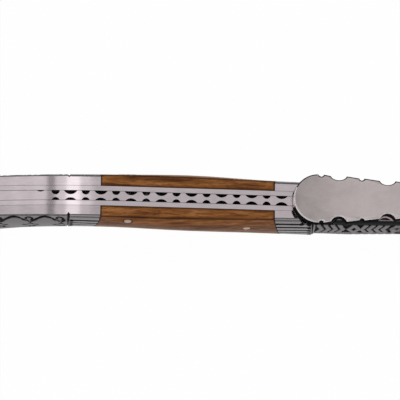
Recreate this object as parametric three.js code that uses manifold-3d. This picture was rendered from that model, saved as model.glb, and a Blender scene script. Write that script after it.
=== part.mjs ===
// Folding pocket knife with a filed back spring, carved steel bolsters and wooden scales.
// Millimetres. +X runs to the pivot end, +Y to the left side, +Z up. The blade is folded away and the
// knife stands on its belly, back upwards, with the origin under the middle of the handle.
import * as THREE from "three";
import { mergeVertices } from "three/addons/utils/BufferGeometryUtils.js";
import Module from "manifold-3d";

const wasm = await Module();
wasm.setup();

// Handle lengths along X
const REAR_BOLSTER_LENGTH = 36;
const SCALE_LENGTH = 41.4;
const FRONT_BOLSTER_LENGTH = 38.6;
const END_GAP = 0.12; // joint line between a scale and the bolster beside it
const REAR_SLANT = 0.18; // lean of the joint line away from the scale, per millimetre below the back
const FRONT_SLANT = 0.12;
const SLANT_RUNOUT = 12; // length over which the lean dies away into a bolster

// The stack across Y
const SPRING_THICKNESS = 2.3; // blade and spring are ground to one thickness
const SLIDE_CLEARANCE = 0.05; // blade or spring to each liner
const LINER_THICKNESS = 1.16;
const SEAM = 0.04; // joint line between a liner and the piece that covers it

// The back of the handle: heights above the standing surface, and where they lie
const BACK_AT_BUTT = 19.4;
const BACK_AT_HEEL = 22.1;
const BACK_AT_CREST = 23.55;
const BACK_AT_WAIST = 21.5;
const BACK_AT_SHOULDER = 18.75;
const BACK_AT_NOSE = 17.05;
const HEEL_INSET = 12; // ahead of the butt
const CREST_INSET = 7; // behind the scales
const SHOULDER_INSET = 10; // ahead of the scales

// The belly: it is cut flat into two feet where its line dips under the standing surface
const FOOT_DIP = 0.4;
const BELLY_AT_HEEL = 3.2;
const BELLY_AT_CREST = 5;
const BELLY_AT_WAIST = 5.2;
const BELLY_AT_SHOULDER = 3.5;
const BUTT_FOOT_LENGTH = 8;
const BELLY_HEEL_INSET = 17; // ahead of the butt
const BELLY_CREST_INSET = 6; // behind the scales
const NOSE_FOOT_LENGTH = 15;

// Rounded ends of the handle outline: length along X and height along Z
const BUTT_TOP_ROUND = { run: 9, rise: 8 };
const BUTT_BEAK_ROUND = { run: 2.5, rise: 3 };
const NOSE_TOP_ROUND = { run: 1.6, rise: 1.6 };
const NOSE_BELLY_ROUND = { run: 9, rise: 7.5 };

// Half widths of the handle: at the back, at the widest level and at the belly
const BACK_HALF_WIDTH_AT_BUTT = 4.9;
const BACK_HALF_WIDTH = 5.1;
const BACK_HALF_WIDTH_AT_SHOULDER = 4.7;
const BACK_HALF_WIDTH_AT_NOSE = 4.5;
const BUTT_HALF_WIDTH = 5.5;
const CREST_HALF_WIDTH = 5.85;
const WAIST_HALF_WIDTH = 6.5;
const SHOULDER_HALF_WIDTH = 5.9;
const NOSE_HALF_WIDTH = 5.15;
const BELLY_HALF_WIDTH_AT_BUTT = 3.9;
const BELLY_HALF_WIDTH_AT_CREST = 3.55;
const BELLY_HALF_WIDTH_AT_WAIST = 4;
const BELLY_HALF_WIDTH_AT_SHOULDER = 4.8;
const BELLY_HALF_WIDTH_AT_NOSE = 4.5;
const WIDEST_DEPTH = 5; // below the back, on the rear half
const WIDEST_DEPTH_AT_SHOULDER = 7.5;
const WIDEST_DEPTH_AT_NOSE = 6.3;

// Bolsters: rolled edges, a band of lengthwise reeds beside the scale and a groove beyond it
const BACK_ROLL = { depth: 2.4, inset: 0.45 };
const BELLY_ROLL = { depth: 2, inset: 0.5 };
const REED_COUNT = 7;
const REED_SPREAD = 1.5; // how much taller the reeds grow towards the belly
const REED_DEPTH = 0.36;
const REED_WALL = 0.3; // run of the short wall at the end of a reed
const REAR_REED_LENGTH = 6.8;
const FRONT_REED_LENGTH = 8.4;
const BAND_GROOVE_WIDTH = 0.8;
const BAND_GROOVE_DEPTH = 0.55;

// Pivot and back spring
const PIVOT_INSET = 7.5; // behind the pivot end of the handle
const PIVOT_DEPTH = 9; // below the back
const PIVOT_PIN_RADIUS = 1.5;
const SPRING_SEAT = 4.2; // pivot centre up to the underside of the spring
const SPRING_NOSE = 4.5; // spring end, ahead of the pivot centre
const SPRING_HEIGHT = 5;
const SPRING_SEAT_LENGTH = 17; // straight stretch of the underside over the tang
const SPRING_SEAT_RUNOUT = 8;
const SPRING_BLOCK_LENGTH = 7.5; // solid rear end that closes the blade slot
const SPRING_BLOCK_CURVE = 10.5; // length of the curve from the bar into the block
const SPRING_BLOCK_LIFT = 0.3; // block above the standing surface
const SPRING_PIN_RADIUS = 1;
const SPRING_PIN_DEPTH = 2.7; // below the back
const SPRING_PIN_SLOT = 0.6; // room for the bar to rise over the pin
const REAR_PIN_RADIUS = 1.25;
const REAR_PIN_INSET = 4.2; // ahead of the butt
const REAR_PIN_HEIGHT = 11;

// Filed edge of the spring: wide and narrow scallops take turns on both sides
const FILED_START = 7.16; // first wide scallop, behind the scales
const FILED_PITCH = 7.176; // from one wide scallop to the next
const FILED_PAIRS = 8;
const WIDE_SCALLOP = { radius: 1.77, depth: 0.76 };
const NARROW_SCALLOP = { radius: 0.96, depth: 0.8 };
const STARTED_SCALLOP = { radius: 1.77, depth: 0.28 };
const FILED_DRIFT = 0.17; // the file bit deeper on the left at the rear of the row
const FILED_BALANCE = 1.3; // change of that drift along the row, as a share of it
const SPRING_PIN_PAIR = 3; // the narrow scallop that the middle pin shows through

// End plate of the spring
const PLATE_HEAD_INSET = 10.35; // centre of the round head, ahead of the scales
const PLATE_HEAD_RADIUS = 5.87;
const PLATE_TIP_INSET = 1.8; // behind the pivot end of the handle
const PLATE_TIP_HALF_WIDTH = 3.8;
const PLATE_TIP_ROUND = 1.4;
const PLATE_THICKNESS = 3.6;
const PLATE_LIFT = 0.65; // underside above the back of the bolsters
const PLATE_CHAMFER = 0.3;
const WELD_GAP = 0.05;
const FINE_NOTCH = { radius: 0.6, depth: 0.5 };
const BROAD_NOTCH = { radius: 2.05, depth: 1.25 };
const HEAD_NOTCH_AT = 0.6; // first fine notch, ahead of the head's centre
const FINE_NOTCH_SHARES = [0.3842, 0.806]; // shares of the way from the head's centre to the tip
const BROAD_NOTCH_SHARES = [0.177, 0.6177];
const HEAD_RECESS_GAP = 0.4;
const HEAD_RECESS_DEPTH = 2.4;

// Blade, drawn open: x from the pivot to the tip, z towards its back
const TIP_CLEARANCE = 3.5; // folded tip to the spring block
const EDGE_CLEARANCE = 0.4; // folded edge to the spring
const STAND_CLEARANCE = 0.5; // folded back to the standing surface
const TANG_GAP = 0.3; // spring to the flats of the tang, open and closed
const CAM_CLEARANCE = 0.05; // spring to the corners of the tang as they pass under it
const STOP_GAP = 0.3; // spring end to the shoulder that stops the open blade
const KICK_LENGTH = 9; // pivot to the choil
const CHOIL_RADIUS = 1.25;
const RICASSO_LENGTH = 2.5; // full thickness ahead of the choil
const PLUNGE_LENGTH = 3;
const BLADE_BACK_SHARES = [0.42, 0.67, 0.87]; // belly, sweep and point, on the way from pivot to tip
const BLADE_EDGE_SHARES = [0.26, 0.46, 0.7, 0.87]; // forebelly, belly, sweep and point
const BLADE_BACK_AT_RICASSO = 7.6;
const BLADE_BACK_AT_BELLY = 6.9;
const BLADE_BACK_AT_SWEEP = 4.9;
const BLADE_BACK_AT_POINT = 1.1;
const BLADE_EDGE_AT_FOREBELLY = -4.9;
const BLADE_EDGE_AT_BELLY = -6.5;
const BLADE_EDGE_AT_SWEEP = -7.5;
const BLADE_EDGE_AT_POINT = -6.3;
const TIP_DROP = 2.9; // tip of the open blade, below the pivot
const TIP_HEIGHT = 0.12;
const EDGE_THICKNESS = 0.3;
const GRIND_SHARE = 0.3; // flat share of the blade height above the grind

// Fasteners
const PIN_FIT = 0.03; // radial, pins set in plates
const RUNNING_FIT = 0.08; // radial, pins that a moving piece turns on
const PIN_SET = 0.12; // pin ends below the bolster surface
const RIVET_RADIUS = 0.95;
const RIVET_PROUD = 0.06;
const REAR_RIVET = { inset: 6.4, depth: 2.1 }; // from the scale end, and below the back
const FRONT_RIVET = { inset: 6.6, depth: 5 };
const DOWEL_RADIUS = 1;
const DOWEL_REACH = 2; // into the bolster
const DOWEL_INSET = 4.5; // from the bolster's scale end
const DOWEL_DEPTH = 9; // below the back

// Fineness of curved faces
const STATION_STEP = 4;
const STATION_GAP = 0.25;
const ROUND_STEPS = 5;
const ROUND_SEGMENTS = 20;
const SCALE_LEVELS = 8;
const CURVE_SEGMENTS = 5;
const SLANT_STEPS = 6; // rounds to find where a leaning line ends

const HANDLE_LENGTH = REAR_BOLSTER_LENGTH + SCALE_LENGTH + FRONT_BOLSTER_LENGTH;
const REAR_END = -HANDLE_LENGTH / 2;
const FRONT_END = HANDLE_LENGTH / 2;
const SCALE_REAR = REAR_END + REAR_BOLSTER_LENGTH;
const SCALE_FRONT = SCALE_REAR + SCALE_LENGTH;
const SCALE_MIDDLE = (SCALE_REAR + SCALE_FRONT) / 2;
const REAR_BOLSTER_FACE = SCALE_REAR - END_GAP / 2;
const FRONT_BOLSTER_FACE = SCALE_FRONT + END_GAP / 2;
const LINER_INNER = SPRING_THICKNESS / 2 + SLIDE_CLEARANCE;
const LINER_OUTER = LINER_INNER + LINER_THICKNESS;
const COVER_INNER = LINER_OUTER + SEAM;
const THROUGH = 2 * (WAIST_HALF_WIDTH + LINER_OUTER); // reach of a hole that goes right across

const steel = material(0xb9b4b4, 0.42, 1);
const springSteel = material(0xaaa4a6, 0.4, 1);
const bladeSteel = material(0xc4c6c8, 0.28, 1);
const wood = material(0x8a5a2c, 0.5, 0);
const rivetMetal = material(0xcbb79a, 0.35, 1);

function material(color, roughness, metalness) {
  return new THREE.MeshStandardMaterial({ color, roughness, metalness });
}

// A smooth line through [x, value] pairs
function lineThrough(pairs) {
  const curve = new THREE.CubicInterpolant(
    Float64Array.from(pairs, (pair) => pair[0]),
    Float64Array.from(pairs, (pair) => pair[1]),
    1,
    new Float64Array(1),
  );
  return (x) => curve.evaluate(x)[0];
}

const backLine = lineThrough([
  [REAR_END, BACK_AT_BUTT],
  [REAR_END + HEEL_INSET, BACK_AT_HEEL],
  [SCALE_REAR - CREST_INSET, BACK_AT_CREST],
  [SCALE_MIDDLE, BACK_AT_WAIST],
  [SCALE_FRONT + SHOULDER_INSET, BACK_AT_SHOULDER],
  [FRONT_END, BACK_AT_NOSE],
]);
const bellyLine = lineThrough([
  [REAR_END, -FOOT_DIP],
  [REAR_END + BUTT_FOOT_LENGTH, -FOOT_DIP],
  [REAR_END + BELLY_HEEL_INSET, BELLY_AT_HEEL],
  [SCALE_REAR - BELLY_CREST_INSET, BELLY_AT_CREST],
  [SCALE_MIDDLE, BELLY_AT_WAIST],
  [SCALE_FRONT, BELLY_AT_SHOULDER],
  [FRONT_END - NOSE_FOOT_LENGTH, -FOOT_DIP],
  [FRONT_END, -FOOT_DIP],
]);
const backHalfWidth = lineThrough([
  [REAR_END, BACK_HALF_WIDTH_AT_BUTT],
  [SCALE_MIDDLE, BACK_HALF_WIDTH],
  [SCALE_FRONT, BACK_HALF_WIDTH_AT_SHOULDER],
  [FRONT_END, BACK_HALF_WIDTH_AT_NOSE],
]);
const widestHalfWidth = lineThrough([
  [REAR_END, BUTT_HALF_WIDTH],
  [SCALE_REAR, CREST_HALF_WIDTH],
  [SCALE_MIDDLE, WAIST_HALF_WIDTH],
  [SCALE_FRONT, SHOULDER_HALF_WIDTH],
  [FRONT_END, NOSE_HALF_WIDTH],
]);
const bellyHalfWidth = lineThrough([
  [REAR_END, BELLY_HALF_WIDTH_AT_BUTT],
  [SCALE_REAR, BELLY_HALF_WIDTH_AT_CREST],
  [SCALE_MIDDLE, BELLY_HALF_WIDTH_AT_WAIST],
  [SCALE_FRONT, BELLY_HALF_WIDTH_AT_SHOULDER],
  [FRONT_END, BELLY_HALF_WIDTH_AT_NOSE],
]);
const widestDepth = lineThrough([
  [REAR_END, WIDEST_DEPTH],
  [SCALE_MIDDLE, WIDEST_DEPTH],
  [SCALE_FRONT, WIDEST_DEPTH_AT_SHOULDER],
  [FRONT_END, WIDEST_DEPTH_AT_NOSE],
]);

// Height that an elliptical corner takes away at a distance from the end of the handle
function cornerLoss(distance, { run, rise }) {
  const inside = Math.max(0, run - Math.max(0, distance)) / run;
  return rise * (1 - Math.sqrt(1 - inside * inside));
}

function backAt(x) {
  return backLine(x) - cornerLoss(x - REAR_END, BUTT_TOP_ROUND) - cornerLoss(FRONT_END - x, NOSE_TOP_ROUND);
}

function bellyAt(x) {
  const flat = Math.max(0, bellyLine(x));
  return flat + cornerLoss(x - REAR_END, BUTT_BEAK_ROUND) + cornerLoss(FRONT_END - x, NOSE_BELLY_ROUND);
}

// Places along the handle from one x to another, close together where its ends are rounded
function stations(from, to, needed = []) {
  const places = [from, to, ...needed];
  for (let i = 1; i <= ROUND_STEPS; i++) {
    const share = 1 - Math.cos((i / ROUND_STEPS) * (Math.PI / 2));
    for (const { run } of [BUTT_TOP_ROUND, BUTT_BEAK_ROUND]) places.push(REAR_END + run * share);
    for (const { run } of [NOSE_TOP_ROUND, NOSE_BELLY_ROUND]) places.push(FRONT_END - run * share);
  }
  const steps = Math.max(1, Math.round((to - from) / STATION_STEP));
  for (let i = 1; i < steps; i++) places.push(from + ((to - from) * i) / steps);
  const kept = [];
  for (const x of places) {
    const clear = kept.every((other) => Math.abs(other - x) > STATION_GAP);
    if (x >= from && x <= to && clear) kept.push(x);
  }
  return kept.sort((a, b) => a - b);
}

// Half width of the crowned side at a depth below the back
function crownAt(x, depth) {
  const height = backAt(x) - bellyAt(x);
  const widest = Math.min(widestDepth(x), height / 2);
  const peak = widestHalfWidth(x);
  if (depth <= widest) return peak - (peak - backHalfWidth(x)) * ((widest - depth) / widest) ** 2;
  return peak - (peak - bellyHalfWidth(x)) * ((depth - widest) / (height - widest)) ** 2;
}

function rollLoss(distance, { depth, inset }) {
  return inset * (Math.max(0, depth - distance) / depth) ** 2;
}

// Half width of a bolster: the crown with its back and belly edges rolled over
function bolsterAt(x, depth) {
  const height = backAt(x) - bellyAt(x);
  return crownAt(x, depth) - rollLoss(depth, BACK_ROLL) - rollLoss(height - depth, BELLY_ROLL);
}

// A closed mesh as a solid that can be joined and cut
function solidOf(geometry) {
  const bare = geometry.clone();
  bare.deleteAttribute("normal");
  bare.deleteAttribute("uv");
  const merged = mergeVertices(bare, 1e-4);
  return new wasm.Manifold(
    new wasm.Mesh({
      numProp: 3,
      vertProperties: merged.attributes.position.array,
      triVerts: new Uint32Array(merged.index.array),
    }),
  );
}

function geometryOf(solid) {
  const mesh = solid.getMesh();
  const geometry = new THREE.BufferGeometry();
  geometry.setAttribute("position", new THREE.BufferAttribute(mesh.vertProperties, 3));
  geometry.setIndex(new THREE.BufferAttribute(mesh.triVerts, 1));
  geometry.computeVertexNormals();
  return geometry;
}

function cut(geometry, cutters) {
  return geometryOf(cutters.reduce((solid, cutter) => solid.subtract(solidOf(cutter)), solidOf(geometry)));
}

function join(first, second) {
  return geometryOf(solidOf(first).add(solidOf(second)));
}

// An outline drawn in x and z, made into a plate between two y planes
function sidePlate(outline, yFrom, yTo) {
  const depth = yTo - yFrom;
  const plate = new THREE.ExtrudeGeometry(outline, { depth, bevelEnabled: false, curveSegments: CURVE_SEGMENTS });
  return plate.rotateX(Math.PI / 2).translate(0, yTo, 0);
}

// A round bar across the knife, between two y planes
function crossBar(radius, { x, z }, yFrom, yTo) {
  const length = Math.abs(yTo - yFrom);
  const bar = new THREE.CylinderGeometry(radius, radius, length, ROUND_SEGMENTS);
  return bar.translate(x, (yFrom + yTo) / 2, z);
}

function uprightBar(radius, x, y, zFrom, zTo) {
  const bar = new THREE.CylinderGeometry(radius, radius, zTo - zFrom, ROUND_SEGMENTS);
  return bar.rotateX(Math.PI / 2).translate(x, y, (zFrom + zTo) / 2);
}

// Skins a row of matching rings and closes both ends
function loft(rings) {
  const count = rings[0].length;
  const positions = rings.flat().flatMap((point) => point.toArray());
  const index = [];
  for (let row = 0; row + 1 < rings.length; row++) {
    for (let i = 0; i < count; i++) {
      const a = row * count + i;
      const b = row * count + ((i + 1) % count);
      index.push(a, b, a + count, b, b + count, a + count);
    }
  }
  const last = (rings.length - 1) * count;
  for (const [a, b, c] of ringFaces(rings[0])) index.push(c, b, a);
  for (const [a, b, c] of ringFaces(rings.at(-1))) index.push(last + a, last + b, last + c);
  const geometry = new THREE.BufferGeometry();
  geometry.setAttribute("position", new THREE.Float32BufferAttribute(positions, 3));
  geometry.setIndex(index);
  return geometry;
}

// Triangles of a ring seen along X, turned the way that the ring runs
function ringFaces(ring) {
  const flat = ring.map((point) => new THREE.Vector2(point.y, point.z));
  const faces = THREE.ShapeUtils.triangulateShape(flat, []);
  const doubled = ([a, b, c]) => flat[b].clone().sub(flat[a]).cross(flat[c].clone().sub(flat[a]));
  const swept = faces.reduce((sum, face) => sum + doubled(face), 0);
  return swept * THREE.ShapeUtils.area(flat) < 0 ? faces.map((face) => face.reverse()) : faces;
}

const PIVOT = pinAt(FRONT_END - PIVOT_INSET, PIVOT_DEPTH);
const REAR_PIN = { x: REAR_END + REAR_PIN_INSET, z: REAR_PIN_HEIGHT };
const FIRST_WIDE = SCALE_REAR - FILED_START;
const SPRING_PIN = pinAt(FIRST_WIDE + (SPRING_PIN_PAIR - 0.5) * FILED_PITCH, SPRING_PIN_DEPTH);
const REAR_DOWEL = pinAt(REAR_BOLSTER_FACE - REAR_SLANT * DOWEL_DEPTH - DOWEL_INSET, DOWEL_DEPTH);
const FRONT_DOWEL = pinAt(FRONT_BOLSTER_FACE + FRONT_SLANT * DOWEL_DEPTH + DOWEL_INSET, DOWEL_DEPTH);
const RIVETS = {
  rear: pinAt(SCALE_REAR + REAR_RIVET.inset, REAR_RIVET.depth),
  front: pinAt(SCALE_FRONT - FRONT_RIVET.inset, FRONT_RIVET.depth),
};

function pinAt(x, depth) {
  return { x, z: backAt(x) - depth };
}

// A pin from one bolster to the other, its ends just below their surface
function bolsterPin(radius, place) {
  const reach = bolsterAt(place.x, backAt(place.x) - place.z) - PIN_SET;
  return crossBar(radius, place, -reach, reach);
}

function throughHole(radius, place) {
  return crossBar(radius, place, -THROUGH, THROUGH);
}

// Blind hole in a bolster for its dowel
function dowelHole(place) {
  const reach = LINER_OUTER + DOWEL_REACH + PIN_FIT;
  return crossBar(DOWEL_RADIUS + PIN_FIT, place, -reach, reach);
}

function dowelGeometry(side, place) {
  return crossBar(DOWEL_RADIUS, place, side * LINER_INNER, side * (LINER_OUTER + DOWEL_REACH));
}

function rivetGeometry(side, place) {
  const surface = crownAt(place.x, backAt(place.x) - place.z);
  return crossBar(RIVET_RADIUS, place, side * LINER_INNER, side * (surface + RIVET_PROUD));
}

function rivetHoles() {
  return Object.values(RIVETS).map((place) => throughHole(RIVET_RADIUS + PIN_FIT, place));
}

// Lean of the covers at a place on the back: full at the joints, none far inside the bolsters
function slantAt(x) {
  if (x < SCALE_REAR) return -REAR_SLANT * Math.max(0, 1 - (SCALE_REAR - x) / SLANT_RUNOUT);
  if (x > SCALE_FRONT) return FRONT_SLANT * Math.max(0, 1 - (x - SCALE_FRONT) / SLANT_RUNOUT);
  return THREE.MathUtils.mapLinear(x, SCALE_REAR, SCALE_FRONT, -REAR_SLANT, FRONT_SLANT);
}

// Where the leaning line from a place on the back meets the belly
function footOf(x) {
  let foot = x;
  for (let i = 0; i < SLANT_STEPS; i++) foot = x + slantAt(x) * (backAt(x) - bellyAt(foot));
  return new THREE.Vector2(foot, bellyAt(foot));
}

// The ring of a handle cover at x: flat against the liner, with the given outer half widths
function coverRing(x, side, levels, halfWidthAt) {
  const head = new THREE.Vector2(x, backAt(x));
  const foot = footOf(x);
  const at = (y, place) => new THREE.Vector3(place.x, side * y, place.y);
  const outer = levels.map((share) => {
    const place = head.clone().lerp(foot, share);
    return at(halfWidthAt(place.x, backAt(place.x) - place.y, share, x), place);
  });
  const ring = [at(COVER_INNER, head), ...outer, at(COVER_INNER, foot)];
  return side > 0 ? ring.reverse() : ring;
}

function scaleGeometry(side) {
  const levels = Array.from({ length: SCALE_LEVELS + 1 }, (_, i) => i / SCALE_LEVELS);
  const places = stations(SCALE_REAR + END_GAP / 2, SCALE_FRONT - END_GAP / 2);
  const blank = loft(places.map((x) => coverRing(x, side, levels, crownAt)));
  return cut(blank, rivetHoles());
}

// Levels that follow the round reeds: a valley and four places over the round for each
const REED_SHARES = [0, 0.12, 0.36, 0.64, 0.88];
const REED_LEVELS = [
  ...Array.from({ length: REED_COUNT }, (_, reed) =>
    REED_SHARES.map((share) => ((reed + share) / REED_COUNT) ** REED_SPREAD),
  ).flat(),
  1,
];

function reedLoss(share) {
  const across = 2 * ((share ** (1 / REED_SPREAD) * REED_COUNT) % 1) - 1;
  return REED_DEPTH * (1 - Math.sqrt(Math.max(0, 1 - across * across)));
}

// A bolster from one x to another, reeded beside the scale and grooved beyond the reeds
function bolsterGeometry(side, from, to, reedFrom, reedTo, grooveAt) {
  const halfGroove = BAND_GROOVE_WIDTH / 2;
  const grooveLoss = (station) => BAND_GROOVE_DEPTH * Math.max(0, 1 - Math.abs(station - grooveAt) / halfGroove);
  const halfWidthAt = (x, depth, share, station) => {
    const reed = station >= reedFrom && station <= reedTo ? reedLoss(share) : 0;
    return bolsterAt(x, depth) - grooveLoss(station) - reed;
  };
  const walls = [reedFrom - REED_WALL, reedFrom, reedTo, reedTo + REED_WALL];
  const groove = [grooveAt - halfGroove, grooveAt, grooveAt + halfGroove];
  const places = stations(from, to, [...walls, ...groove]);
  return loft(places.map((x) => coverRing(x, side, REED_LEVELS, halfWidthAt)));
}

function rearBolsterGeometry(side) {
  const reedFrom = REAR_BOLSTER_FACE - REAR_REED_LENGTH;
  const grooveAt = reedFrom - REED_WALL - BAND_GROOVE_WIDTH / 2;
  const blank = bolsterGeometry(side, REAR_END, REAR_BOLSTER_FACE, reedFrom, REAR_BOLSTER_FACE, grooveAt);
  return cut(blank, [throughHole(REAR_PIN_RADIUS + PIN_FIT, REAR_PIN), dowelHole(REAR_DOWEL)]);
}

function frontBolsterGeometry(side) {
  const reedTo = FRONT_BOLSTER_FACE + FRONT_REED_LENGTH;
  const grooveAt = reedTo + REED_WALL + BAND_GROOVE_WIDTH / 2;
  const blank = bolsterGeometry(side, FRONT_BOLSTER_FACE, FRONT_END, FRONT_BOLSTER_FACE, reedTo, grooveAt);
  const pivotHole = throughHole(PIVOT_PIN_RADIUS + PIN_FIT, PIVOT);
  return cut(blank, [headRecess(), pivotHole, dowelHole(FRONT_DOWEL)]);
}

const PLATE_HEAD = SCALE_FRONT + PLATE_HEAD_INSET;
const PLATE_TIP = FRONT_END - PLATE_TIP_INSET;

// Round pocket that frees the head of the end plate
function headRecess() {
  const floor = backAt(PLATE_HEAD) - HEAD_RECESS_DEPTH;
  return uprightBar(PLATE_HEAD_RADIUS + HEAD_RECESS_GAP, PLATE_HEAD, 0, floor, floor + 3 * HEAD_RECESS_DEPTH);
}

function handleOutline() {
  const places = stations(REAR_END, FRONT_END);
  const back = places.map((x) => new THREE.Vector2(x, backAt(x)));
  const belly = places.map((x) => new THREE.Vector2(x, bellyAt(x))).reverse();
  return new THREE.Shape([...back, ...belly]);
}

function linerGeometry(side) {
  const [yFrom, yTo] = side > 0 ? [LINER_INNER, LINER_OUTER] : [-LINER_OUTER, -LINER_INNER];
  const holes = [
    throughHole(PIVOT_PIN_RADIUS + PIN_FIT, PIVOT),
    throughHole(REAR_PIN_RADIUS + PIN_FIT, REAR_PIN),
    throughHole(SPRING_PIN_RADIUS + PIN_FIT, SPRING_PIN),
    ...rivetHoles(),
    dowelHole(REAR_DOWEL),
    dowelHole(FRONT_DOWEL),
  ];
  return cut(sidePlate(handleOutline(), yFrom, yTo), [headRecess(), ...holes]);
}

// Line that the end plate is welded to, sloped as the back is under it
const PLATE_SLOPE = (backLine(PLATE_TIP) - backLine(PLATE_HEAD)) / (PLATE_TIP - PLATE_HEAD);

function plateSeatAt(x) {
  return backLine(PLATE_HEAD) + PLATE_LIFT + PLATE_SLOPE * (x - PLATE_HEAD);
}

function springUndersideAt(x) {
  const seat = PIVOT.z + SPRING_SEAT;
  const seatRear = PIVOT.x + SPRING_NOSE - SPRING_SEAT_LENGTH;
  const share = Math.min(1, Math.max(0, (seatRear - x) / SPRING_SEAT_RUNOUT));
  return THREE.MathUtils.lerp(seat, backLine(x) - SPRING_HEIGHT, share);
}

const BLOCK_FRONT = REAR_END + SPRING_BLOCK_LENGTH;

// The spring from its side: back, seat of the end plate, nose, underside and the block at its rear
function springOutline() {
  const nose = PIVOT.x + SPRING_NOSE;
  const landRear = PLATE_HEAD - PLATE_HEAD_RADIUS + PLATE_CHAMFER;
  const barRear = BLOCK_FRONT + SPRING_BLOCK_CURVE;
  const points = stations(REAR_END, landRear).map((x) => new THREE.Vector2(x, backAt(x)));
  for (const x of [landRear, nose]) points.push(new THREE.Vector2(x, plateSeatAt(x) - WELD_GAP));
  for (const x of stations(barRear, nose).reverse()) points.push(new THREE.Vector2(x, springUndersideAt(x)));
  const drop = springUndersideAt(barRear) - REAR_PIN.z;
  for (let i = 1; i <= ROUND_STEPS; i++) {
    const turn = (i / ROUND_STEPS) * (Math.PI / 2);
    const x = barRear - SPRING_BLOCK_CURVE * Math.sin(turn);
    points.push(new THREE.Vector2(x, REAR_PIN.z + drop * Math.cos(turn)));
  }
  for (const x of stations(REAR_END, BLOCK_FRONT).reverse()) {
    points.push(new THREE.Vector2(x, bellyAt(x) + SPRING_BLOCK_LIFT));
  }
  return new THREE.Shape(points);
}

// One scallop filed down through the edge of the spring
function scallopBar(x, side, { radius, depth }) {
  const y = side * (SPRING_THICKNESS / 2 + radius - depth);
  return uprightBar(radius, x, y, backAt(x) - 2 * SPRING_HEIGHT, backAt(x) + SPRING_HEIGHT);
}

// The filed row, with one more scallop only started on the left side at its rear end
function springScallops() {
  const bars = [scallopBar(FIRST_WIDE - FILED_PITCH, 1, STARTED_SCALLOP)];
  for (let pair = 0; pair < FILED_PAIRS; pair++) {
    const wideX = FIRST_WIDE + pair * FILED_PITCH;
    const drift = FILED_DRIFT * (1 - (FILED_BALANCE * pair) / (FILED_PAIRS - 1));
    for (const side of [1, -1]) {
      const filed = ({ radius, depth }) => ({ radius, depth: depth + side * drift });
      bars.push(scallopBar(wideX, side, filed(WIDE_SCALLOP)));
      bars.push(scallopBar(wideX - FILED_PITCH / 2, side, filed(NARROW_SCALLOP)));
    }
  }
  return bars;
}

// Upright slot round the middle pin
function springPinSlot() {
  const radius = SPRING_PIN_RADIUS + RUNNING_FIT;
  const slot = new THREE.Shape();
  slot.absarc(SPRING_PIN.x, SPRING_PIN.z, radius, 0, Math.PI, false);
  slot.absarc(SPRING_PIN.x, SPRING_PIN.z - SPRING_PIN_SLOT, radius, Math.PI, 2 * Math.PI, false);
  return sidePlate(slot, -SPRING_THICKNESS, SPRING_THICKNESS);
}

function springGeometry() {
  const blank = sidePlate(springOutline(), -SPRING_THICKNESS / 2, SPRING_THICKNESS / 2);
  const rearHole = throughHole(REAR_PIN_RADIUS + RUNNING_FIT, REAR_PIN);
  return cut(blank, [...springScallops(), springPinSlot(), rearHole]);
}

const PLATE_LENGTH = PLATE_TIP - PLATE_HEAD;

function plateHalfWidthAt(share) {
  return THREE.MathUtils.lerp(PLATE_HEAD_RADIUS, PLATE_TIP_HALF_WIDTH, share);
}

// The tapered end plate from above: a round head, then notched edges down to a rounded tip
function plateOutline() {
  const notches = [
    ...[HEAD_NOTCH_AT / PLATE_LENGTH, ...FINE_NOTCH_SHARES].map((at) => ({ at, ...FINE_NOTCH })),
    ...BROAD_NOTCH_SHARES.map((at) => ({ at, ...BROAD_NOTCH })),
  ].sort((a, b) => a.at - b.at);
  const tipCentre = PLATE_LENGTH - PLATE_TIP_ROUND;
  const outline = new THREE.Shape();
  outline.absarc(0, 0, PLATE_HEAD_RADIUS, -Math.PI / 2, -Math.PI, true);
  outline.absarc(0, 0, PLATE_HEAD_RADIUS, Math.PI, Math.PI / 2, true);
  for (const notch of notches) notchArc(outline, notch, 1);
  outline.absellipse(tipCentre, 0, PLATE_TIP_ROUND, PLATE_TIP_HALF_WIDTH, Math.PI / 2, -Math.PI / 2, true);
  for (const notch of notches.reverse()) notchArc(outline, notch, -1);
  return outline;
}

function notchArc(outline, { at, radius, depth }, side) {
  const along = PLATE_LENGTH * at;
  const centre = plateHalfWidthAt(at) + radius - depth;
  const start = Math.asin((radius - depth) / radius);
  if (side > 0) outline.absarc(along, centre, radius, start - Math.PI, -start, false);
  else outline.absarc(along, -centre, radius, start, Math.PI - start, false);
}

function plateGeometry() {
  const plate = new THREE.ExtrudeGeometry(plateOutline(), {
    depth: PLATE_THICKNESS - 2 * PLATE_CHAMFER,
    bevelThickness: PLATE_CHAMFER,
    bevelSize: PLATE_CHAMFER,
    bevelOffset: -PLATE_CHAMFER,
    bevelSegments: 1,
    curveSegments: CURVE_SEGMENTS,
  });
  return plate.translate(0, 0, PLATE_CHAMFER);
}

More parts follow.
